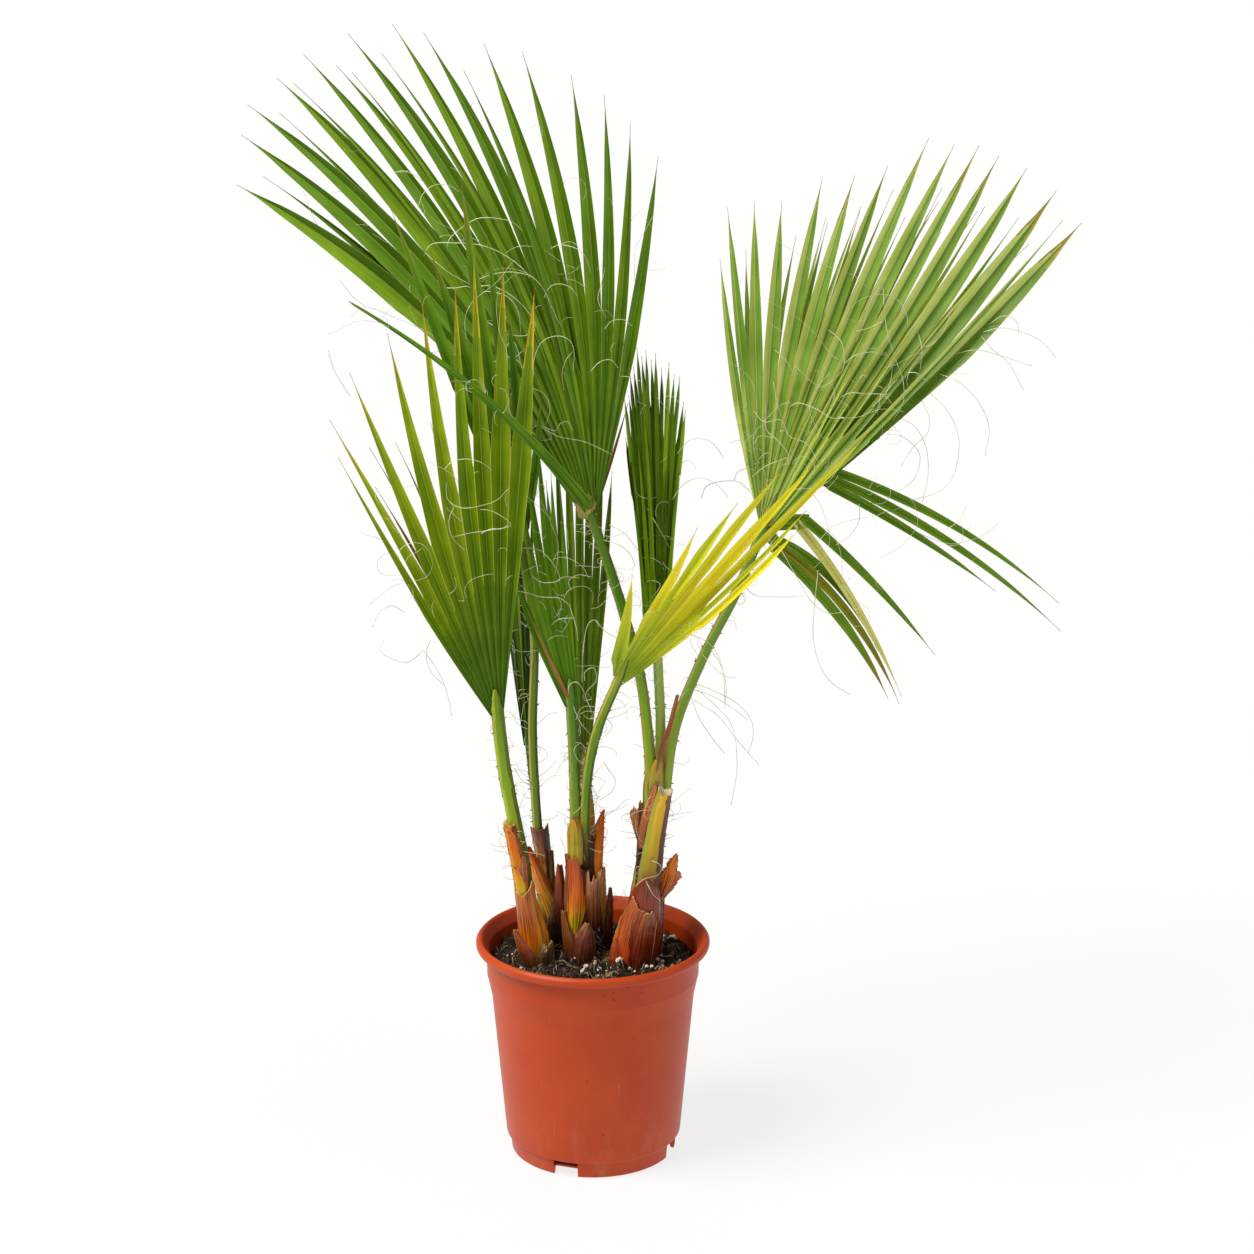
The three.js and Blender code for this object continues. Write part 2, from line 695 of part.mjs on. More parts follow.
for (const [name, stations] of Object.entries(stems)) {
  const grower = (grow) => limb(stations, { sides: 12, steps: 2 }, grow);
  addPiece(name, grower, ["soil"], materialOf(colours.stem, 0.6));
}
for (const [name, { on, stations }] of Object.entries(petioles)) {
  const grower = (grow) => limb(stations, { sides: 8, steps: 2 }, grow);
  addPiece(name, grower, [on], materialOf(colours.petiole, 0.45));
}
for (const [name, { on, stations }] of Object.entries(stubs)) {
  const grower = (grow) => limb(stations, { sides: 10, steps: 2 }, grow);
  addPiece(name, grower, on, materialOf(colours.sheath, 0.6));
}

const leafColours = {
  leaf_yellow: colours.yellowLeaf,
  leaf_middle_back: colours.darkLeaf,
  leaf_narrow_left: colours.darkLeaf,
  leaf_right: colours.paleLeaf,
};
for (const [name, leaf] of Object.entries(leaves)) {
  const cutters = [leaf.on];
  if (leaf.on in leaves) cutters.push(leaves[leaf.on].on);
  if (leaf.beside) cutters.push(leaf.beside);
  const colour = leafColours[name] ?? colours.leaf;
  addPiece(name, (grow) => fan(leaf, grow), cutters, materialOf(colour, 0.5));
}

// A sheath clears everything that was placed before it.
for (const [name, shape] of Object.entries(sheaths)) {
  const before = [...growers.keys()].filter((other) => !other.startsWith("leaf"));
  const colour = shape.foot[2] < soilLevel ? colours.darkSheath : colours.sheath;
  addPiece(name, (grow) => sheath(shape, grow), before, materialOf(colour, 0.6));
}

export default palm;
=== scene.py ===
# A young fan palm clump in a plastic nursery pot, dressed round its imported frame.
# The tables are in millimetres, as the part's source is; meshes are made in metres.
import math

import bmesh
import bpy
import numpy as np
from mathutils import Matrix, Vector


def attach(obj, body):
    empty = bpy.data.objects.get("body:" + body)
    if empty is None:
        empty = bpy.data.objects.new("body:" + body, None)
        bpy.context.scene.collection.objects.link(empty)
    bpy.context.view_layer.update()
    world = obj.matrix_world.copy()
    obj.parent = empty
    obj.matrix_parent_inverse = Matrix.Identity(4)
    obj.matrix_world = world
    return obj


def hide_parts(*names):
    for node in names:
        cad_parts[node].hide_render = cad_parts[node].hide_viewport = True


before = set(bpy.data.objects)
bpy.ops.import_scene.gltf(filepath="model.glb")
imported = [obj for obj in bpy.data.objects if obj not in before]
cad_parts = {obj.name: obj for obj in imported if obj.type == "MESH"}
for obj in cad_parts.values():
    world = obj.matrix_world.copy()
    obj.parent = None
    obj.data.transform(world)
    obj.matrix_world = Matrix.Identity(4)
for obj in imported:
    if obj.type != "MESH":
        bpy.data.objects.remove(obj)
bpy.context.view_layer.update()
mm = 0.001


# Camera, floor and lights

photoCamera = {"lens": 85, "sensor": 36, "place": (0.035, -2.840, 1.361), "tiltDown": 15.75}
photoSize = 1254
photoFocal = photoCamera["lens"] / photoCamera["sensor"] * photoSize
stageLook = {"floorSize": 90, "floorGlow": 0.80, "floorColour": "#6a6a6a", "sky": 0.25}
suns = {
    "keySun": {"strength": 3.6, "softness": 34, "towards": (-0.95, -0.46, 1.5), "colour": "#fffaf2"},
    "fillSun": {"strength": 0.45, "softness": 60, "towards": (0.8, -0.5, 0.5), "colour": "#f4f8ff"},
}


def linear(hexColour):
    # Each sRGB channel divided by 255, then the sRGB curve undone.
    value = np.array([int(hexColour[i : i + 2], 16) for i in (1, 3, 5)]) / 255
    low = value / 12.92
    high = ((value + 0.055) / 1.055) ** 2.4
    return (*np.where(value <= 0.04045, low, high), 1.0)


def newMaterial(name):
    material = bpy.data.materials.new(name)
    material.use_nodes = True
    material.node_tree.nodes.clear()
    return material


def addNode(material, kind, settings=None, values=None, links=None, stops=None):
    # Settings are the node's own fields, values its unlinked sockets, and links its linked ones, each from a
    # socket or from a node's first output. Stops are a colour ramp's places and colours.
    node = material.node_tree.nodes.new("ShaderNode" + kind)
    for key, value in (settings or {}).items():
        setattr(node, key, value)
    for key, value in (values or {}).items():
        node.inputs[key].default_value = value
    for key, source in (links or {}).items():
        socket = source.outputs[0] if hasattr(source, "outputs") else source
        material.node_tree.links.new(socket, node.inputs[key])
    for i, (place, hexColour) in enumerate((stops or {}).items()):
        elements = node.color_ramp.elements
        element = elements[i] if i < len(elements) else elements.new(place)
        element.position = place
        element.color = linear(hexColour)
    return node


inColour = {"data_type": "RGBA"}


def finishMaterial(material, values, links, bump=None):
    # Ends a material: a bump of (strength, depth in mm, height), the principled shader and the output.
    if bump:
        strength, depth, height = bump
        relief = {"Strength": strength, "Distance": depth * mm}
        links = {**links, "Normal": addNode(material, "Bump", None, relief, {"Height": height})}
    shader = addNode(material, "BsdfPrincipled", None, values, links)
    addNode(material, "OutputMaterial", links={"Surface": shader})
    return material


def streaks(material, vector, scale, detail, rough, shift=(0, 0, 0)):
    # Random streaks: noise drawn out along the axes by a scale of its own for each.
    drawn = addNode(material, "Mapping", None, {"Location": shift, "Scale": scale}, {"Vector": vector})
    values = {"Scale": 1.0, "Detail": detail, "Roughness": rough}
    return addNode(material, "TexNoise", None, values, {"Vector": drawn})


def makeCamera():
    data = bpy.data.cameras.new("photoCamera")
    data.lens = photoCamera["lens"]
    data.sensor_width = photoCamera["sensor"]
    data.clip_end = 300
    camera = bpy.data.objects.new("photoCamera", data)
    camera.location = photoCamera["place"]
    camera.rotation_euler = (math.radians(90 - photoCamera["tiltDown"]), 0, 0)
    bpy.context.scene.collection.objects.link(camera)
    bpy.context.scene.camera = camera


def makeStage():
    half = stageLook["floorSize"] / 2
    mesh = bpy.data.meshes.new("paleFloor")
    corners = [(-half, -half, 0), (half, -half, 0), (half, half, 0), (-half, half, 0)]
    mesh.from_pydata(corners, [], [(0, 1, 2, 3)])
    floor = bpy.data.objects.new("paleFloor", mesh)
    bpy.context.scene.collection.objects.link(floor)
    # Matt white paper sweep, lit a little from within so that the shadows stay faint.
    paper = newMaterial("whitePaperFloor")
    glow = {"Emission Color": (1, 1, 1, 1), "Emission Strength": stageLook["floorGlow"]}
    finishMaterial(paper, {"Base Color": linear(stageLook["floorColour"]), "Roughness": 0.9, **glow}, {})
    mesh.materials.append(paper)

    world = bpy.data.worlds.new("softSky")
    world.use_nodes = True
    sky = world.node_tree.nodes["Background"].inputs
    sky["Color"].default_value = (1, 1, 1, 1)
    sky["Strength"].default_value = stageLook["sky"]
    bpy.context.scene.world = world
    for name, sun in suns.items():
        data = bpy.data.lights.new(name, "SUN")
        data.energy = sun["strength"]
        data.angle = math.radians(sun["softness"])
        data.color = linear(sun["colour"])[:3]
        lamp = bpy.data.objects.new(name, data)
        lamp.rotation_euler = Vector(sun["towards"]).to_track_quat("Z", "Y").to_euler()
        bpy.context.scene.collection.objects.link(lamp)
    bpy.context.scene.view_settings.view_transform = "Standard"


makeCamera()
makeStage()
print("stage: camera, floor and lights")


# Mesh making: a part is its points, faces, looks and UV map, all as arrays

triangle = -1
mergeReach = 1e-6


def part(points, faces, look=0, uv=None):
    points = np.asarray(points, float).reshape(-1, 3)
    faces = np.asarray(faces, int)
    look = np.broadcast_to(look, len(faces)).astype(int)
    uv = np.zeros((len(points), 2)) if uv is None else np.asarray(uv, float).reshape(-1, 2)
    return {"points": points, "faces": faces, "look": look, "uv": uv}


def makePiece(name, parts, materials, nodes=(), smooth=True, merged=False):
    # All parts in one mesh, facing outwards; its poles and seams are merged where that is asked. A face's
    # fourth corner is -1 where it is a triangle.
    starts = np.cumsum([0] + [len(p["points"]) for p in parts])
    faces = np.concatenate(
        [np.where(p["faces"] >= 0, p["faces"] + first, triangle) for p, first in zip(parts, starts)]
    )
    points = np.concatenate([p["points"] for p in parts]) * mm
    uv = np.concatenate([p["uv"] for p in parts])
    corners = faces[faces >= 0]
    sizes = (faces >= 0).sum(axis=1)
    mesh = bpy.data.meshes.new(name)
    mesh.vertices.add(len(points))
    mesh.vertices.foreach_set("co", points.ravel())
    mesh.loops.add(len(corners))
    mesh.loops.foreach_set("vertex_index", corners)
    mesh.polygons.add(len(faces))
    mesh.polygons.foreach_set("loop_start", np.concatenate([[0], np.cumsum(sizes)[:-1]]))
    mesh.polygons.foreach_set("material_index", np.concatenate([p["look"] for p in parts]))
    mesh.polygons.foreach_set("use_smooth", np.full(len(faces), smooth))
    mesh.uv_layers.new(name="surfaceMap").data.foreach_set("uv", uv[corners].ravel())
    mesh.update(calc_edges=True)
    shell = bmesh.new()
    shell.from_mesh(mesh)
    if merged:
        bmesh.ops.remove_doubles(shell, verts=shell.verts, dist=mergeReach)
        bmesh.ops.dissolve_degenerate(shell, edges=shell.edges, dist=mergeReach / 10)
    bmesh.ops.recalc_face_normals(shell, faces=shell.faces)
    shell.to_mesh(mesh)
    shell.free()
    for material in materials:
        mesh.materials.append(material)
    piece = bpy.data.objects.new(name, mesh)
    bpy.context.scene.collection.objects.link(piece)
    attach(piece, "root")
    if nodes:
        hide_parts(*nodes)
    return piece


def quads(a, b, c, d):
    # Faces from four grids of corner numbers.
    return np.stack([a, b, c, d], axis=-1).reshape(-1, 4)


def ringFaces(rings, sides):
    # The faces between closed rings, each ring joined to the next.
    grid = np.arange(rings * sides).reshape(rings, sides)
    after = np.roll(grid, -1, axis=1)
    return quads(grid[:-1], after[:-1], after[1:], grid[1:])


def copied(faces, count, step):
    # The same faces for each of many copies, whose points follow one another step by step.
    shift = np.arange(count)[:, None, None] * step
    return np.where(faces[None] >= 0, faces[None] + shift, triangle).reshape(-1, 4)


def plates(front, back, look=0, uv=None):
    # Thin closed plates: front and back grids [plate, row, column] joined round their four edges.
    count, rows, columns = front.shape[:3]
    grid = np.arange(rows * columns).reshape(rows, columns)
    rear = grid + rows * columns
    faces = np.concatenate(
        [
            quads(grid[:-1, :-1], grid[:-1, 1:], grid[1:, 1:], grid[1:, :-1]),
            quads(rear[:-1, :-1], rear[1:, :-1], rear[1:, 1:], rear[:-1, 1:]),
            quads(grid[:-1, 0], grid[1:, 0], rear[1:, 0], rear[:-1, 0]),
            quads(grid[:-1, -1], rear[:-1, -1], rear[1:, -1], grid[1:, -1]),
            quads(grid[0, :-1], rear[0, :-1], rear[0, 1:], grid[0, 1:]),
            quads(grid[-1, :-1], grid[-1, 1:], rear[-1, 1:], rear[-1, :-1]),
        ]
    )
    look = np.broadcast_to(look, (count, rows - 1, columns - 1))
    flat = look.reshape(count, -1)
    edges = [look[:, :, 0], look[:, :, -1], look[:, 0], look[:, -1]]
    looks = np.concatenate([flat, flat, *edges], axis=1)
    points = np.concatenate([front.reshape(count, -1, 3), back.reshape(count, -1, 3)], axis=1)
    if uv is not None:
        uv = np.concatenate([uv.reshape(count, -1, 2)] * 2, axis=1)
    return part(points, copied(faces, count, points.shape[1]), looks.ravel(), uv)


def unit(vectors):
    # Each vector over its own length.
    return vectors / np.maximum(np.linalg.norm(vectors, axis=-1, keepdims=True), 1e-9)


def tubes(paths, radii, sides=3, look=0):
    # Round tubes along many paths [tube, step]: rings across the path, with flat ends.
    paths = np.asarray(paths, float)
    count, steps = paths.shape[:2]
    radii = np.broadcast_to(radii, (count, steps))
    along = unit(np.gradient(paths, axis=1))
    reference = np.where(np.abs(along[..., 1:2]) > 0.9, [1.0, 0, 0], [0, 1.0, 0])
    across = unit(np.cross(along, reference))
    front = np.cross(across, along)
    turn = 2 * np.pi * np.arange(sides) / sides
    ring = across[:, :, None] * np.cos(turn)[:, None] + front[:, :, None] * np.sin(turn)[:, None]
    points = paths[:, :, None] + ring * radii[:, :, None, None]
    caps = np.full((2, 4), triangle)
    first = np.arange(min(sides, 4))
    caps[:, : len(first)] = [first[::-1], first + (steps - 1) * sides]
    faces = np.concatenate([ringFaces(steps, sides), caps])
    return part(points, copied(faces, count, steps * sides), look)


def smoothPath(stations, steps):
    # A Catmull-Rom spline through the stations; every column of the table is carried along.
    stations = np.asarray(stations, float)
    ends = [2 * stations[0] - stations[1], 2 * stations[-1] - stations[-2]]
    knots = np.vstack([ends[0], stations, ends[1]])
    place = np.linspace(0, len(stations) - 1, steps + 1)
    low = np.minimum(place.astype(int), len(stations) - 2)
    t = (place - low)[:, None]
    a, b, c, d = (knots[low + i] for i in range(4))
    return 0.5 * (2 * b + (c - a) * t + (2 * a - 5 * b + 4 * c - d) * t**2 + (3 * b - a - 3 * c + d) * t**3)


def ripple(length, seed, waves=(3, 7, 15), falls=0.6):
    # A smooth random line from -1 to 1: a few sine waves with seeded phases.
    rng = np.random.default_rng(seed)
    place = np.linspace(0, 1, length)
    total = sum(
        falls**i * np.sin(2 * np.pi * (n * place * rng.uniform(0.8, 1.2) + rng.random()))
        for i, n in enumerate(waves)
    )
    return total / sum(falls**i for i in range(len(waves)))


# Materials of the plant: a gleam is a specular level, low on waxy skin and higher on dry husks. Blotches
# on the leaves are 35 mm wide.

waxyGleam = 0.2
huskGleam = 0.5
plantIor = 1.45
blotchSize = 35


def darker(colour, share):
    return "#" + "".join(f"{int(int(colour[i:i + 2], 16) * share):02x}" for i in (1, 3, 5))


def streakyLook(name, light, dark, size, rough, bump, blotch=0.0, root=None):
    # Plant tissue with long fibres: noise drawn out along the piece's own map, u across and v along in
    # metres, mixed between a light and a dark tint. The same noise raises the fibres. The root is a
    # second pair of tints, which gives way to the first between two lengths along the piece.
    material = newMaterial(name)
    across, along = size
    place = addNode(material, "UVMap", {"uv_map": "surfaceMap"})
    fibres = streaks(material, place, (1 / (across * mm), 1 / (along * mm), 1), 3.0, 0.6)
    factor = fibres
    if blotch:
        at = {"Vector": addNode(material, "TexCoord").outputs["Object"]}
        cloud = addNode(material, "TexNoise", None, {"Scale": 1 / (blotchSize * mm), "Detail": 2.0}, at)
        sides = {"A": fibres, "B": cloud}
        factor = addNode(material, "Mix", {"data_type": "FLOAT"}, {"Factor": blotch}, sides).outputs["Result"]
    colour = addNode(material, "ValToRGB", links={"Fac": factor}, stops={0.3: dark, 0.7: light})
    if root:
        tints = {0.3: root["dark"], 0.7: root["light"]}
        rootColour = addNode(material, "ValToRGB", links={"Fac": factor}, stops=tints)
        axes = addNode(material, "SeparateXYZ", links={"Vector": place})
        reach = {"From Min": root["from"] * mm, "From Max": root["to"] * mm}
        grown = addNode(material, "MapRange", None, reach, {"Value": axes.outputs["Y"]})
        sides = {"Factor": grown, "A": rootColour, "B": colour}
        colour = addNode(material, "Mix", inColour, None, sides).outputs["Result"]
    values = {"Roughness": rough, "IOR": plantIor, "Specular IOR Level": waxyGleam}
    return finishMaterial(material, values, {"Base Color": colour}, (bump, 0.4, fibres))


# Fan palm blades: smooth waxy cuticle over parallel veins about a millimetre apart, so a soft gloss
# and fine streaks. Each family has three tints dealt out by leaflet, and for trims its pale midrib, its
# margin, its tip and its dried end. In a leaf that gives halves, the tints go half by half instead: a
# lighter one as painted light on one face of each leaflet's fold, and a darker one as painted shade on
# the other.
veins = (1.3, 90)
leafFamilies = {
    "fresh": {
        "tints": [("#6d9712", "#3c6b04"), ("#5c890a", "#336002"), ("#7ca61f", "#4b7a09")],
        "trims": ("#93a442", "#8ea034", "#a39a34", "#8d6a35"), "rough": 0.40,
    },
    # Cool: tints one and three are painted light on the leaflets' left halves, tint two painted shade on the
    # right.
    "cool": {
        "tints": [("#7ba231", "#4d7915"), ("#577a06", "#355702"), ("#8ead29", "#568311")],
        "trims": ("#93a848", "#8ca23c", "#a39a34", "#8d6a35"), "rough": 0.38,
    },
    "bright": {
        "tints": [("#b0c418", "#688606"), ("#d0dc20", "#84a009"), ("#90aa12", "#557805")],
        "trims": ("#b0bc38", "#d0c83a", "#e0ba30", "#b0702a"), "rough": 0.40,
        "root": {"light": "#5c8204", "dark": "#365a01", "from": 60, "to": 330},
    },
    "dark": {
        "tints": [("#6a890f", "#375704"), ("#7f9d19", "#466906"), ("#364e06", "#182e01")],
        "trims": ("#788c28", "#76882a", "#8a8436", "#6b5a34"), "rough": 0.42,
    },
    # Pale: tint one is painted light, mostly on the leaflets' left halves, tint three painted shade, mostly
    # on the right, and tint two goes to both.
    "pale": {
        "tints": [("#e6ee8e", "#b0c648"), ("#bcd260", "#82a234"), ("#86aa40", "#48721a")],
        "trims": ("#d8e094", "#c8b850", "#b8a040", "#a87c40"), "rough": 0.40,
    },
    "yellow": {
        "tints": [("#f0e732", "#d1cc13"), ("#feef30", "#e5d91a"), ("#dddf2b", "#b6c20f")],
        "trims": ("#eeea70", "#ecd83a", "#dca62a", "#b0641e"), "rough": 0.42,
        "root": {"light": "#c0d43a", "dark": "#8caa1c", "from": 20, "to": 120},
    },
    "spear": {
        "tints": [("#6e9004", "#385d01"), ("#597a03", "#2e4c01"), ("#8eb211", "#517a04")],
        "trims": ("#7e9636", "#6c8026", "#7e7a3a", "#75603a"), "rough": 0.42,
    },
    "hanging": {
        "tints": [("#81a62a", "#47770e"), ("#e8e492", "#c2c25c"), ("#9c981e", "#5c6c0a")],
        "trims": ("#a2ac58", "#a89c40", "#a88c34", "#8d6a35"), "rough": 0.40,
    },
}
dryBrown = streakyLook("driedLeaflet", "#c89a5a", "#8f5f2c", veins, 0.7, 0.3)


def leafLooks(family):
    # The slots of a leaf: three tints, midrib, margin, tip, dried tip and dead leaflet.
    kind = leafFamilies[family]
    looks = []
    for i, (light, dark) in enumerate(kind["tints"]):
        name = f"{family}Blade{i + 1}"
        looks.append(streakyLook(name, light, dark, veins, kind["rough"], 0.14, 0.4, kind.get("root")))
    for place, colour in zip(("Rib", "Margin", "Tip", "Dry"), kind["trims"]):
        looks.append(streakyLook(family + place, colour, darker(colour, 0.8), veins, 0.5, 0.1))
    return looks + [dryBrown]


slots = {"rib": 3, "margin": 4, "tip": 5, "dry": 6, "dead": 7}
looksOf = {family: leafLooks(family) for family in leafFamilies}

# Palm thread: dry pale fibre torn from the leaflet margins, matt.
threadFibre = newMaterial("palmThread")
threadPlace = {"Vector": addNode(threadFibre, "TexCoord").outputs["Object"]}
threadNoise = addNode(threadFibre, "TexNoise", None, {"Scale": 1 / (20 * mm)}, threadPlace)
threadTints = {0.35: "#bcbb8c", 0.65: "#ebe8c8"}
threadColour = addNode(threadFibre, "ValToRGB", links={"Fac": threadNoise}, stops=threadTints)
finishMaterial(threadFibre, {"Roughness": 0.7}, {"Base Color": threadColour})

print("materials: leaves and threads")


# Fan leaves, by the source's rule on a finer grid

# Each midrib is a quadratic curve from the hub: 2u(1-u) pull R along the base bearing plus u^2 R along the
# tip's. Neighbours share a crest up to the split. Beyond it, at the share t of what is left, a leaflet's
# half width is swell (1 - t^full), drawn in to a fine point over the last stretch, and never past clear
# times half the spacing. It starts from the width at the split, or from widest where that is more. Between
# the two shares in yellow the tip's colour spreads in from the margins. Layers are further leaflets of the
# same leaf, by the same rule, and offset sets them behind the others, or in front where it is negative.
# Root spreads the midribs' starts, freeFirst is the first crest's own split, and finer the number of
# leaflets drawn for each that is listed. Tints go leaflet by leaflet, halves gives each half of a leaflet
# tints to choose from, and look is one slot for a whole layer. Halves are painted light and shade: lighter
# tints on the left half of each leaflet and darker ones on the right. Outer is how much wider than at the
# split an outermost leaflet's free side may be.
fanDetail = {
    "rows": 60, "pull": 0.5, "hubFold": 58, "tipFold": 30, "thick": 0.9, "leastHalf": 0.22,
    "driedFrom": 0.985,
}
lancet = {
    "swell": 1.05, "full": 2.0, "clear": 0.93, "closes": 0.08, "point": 0.24, "pointPower": 0.62, "outer": 2,
}
acrossPleat = np.array([-1, -0.95, -0.7, -0.4, -0.14, -0.04, 0.04, 0.14, 0.4, 0.7, 0.95, 1])
# Finer ridges between midrib and crest, in the joined part only: their share of the pleat, and their course.
subRidge = 0.34
subRidgeShape = ((0, 0.14, 0.4, 0.7, 0.95, 1), (0, 0, 1, -0.7, 0, 0))

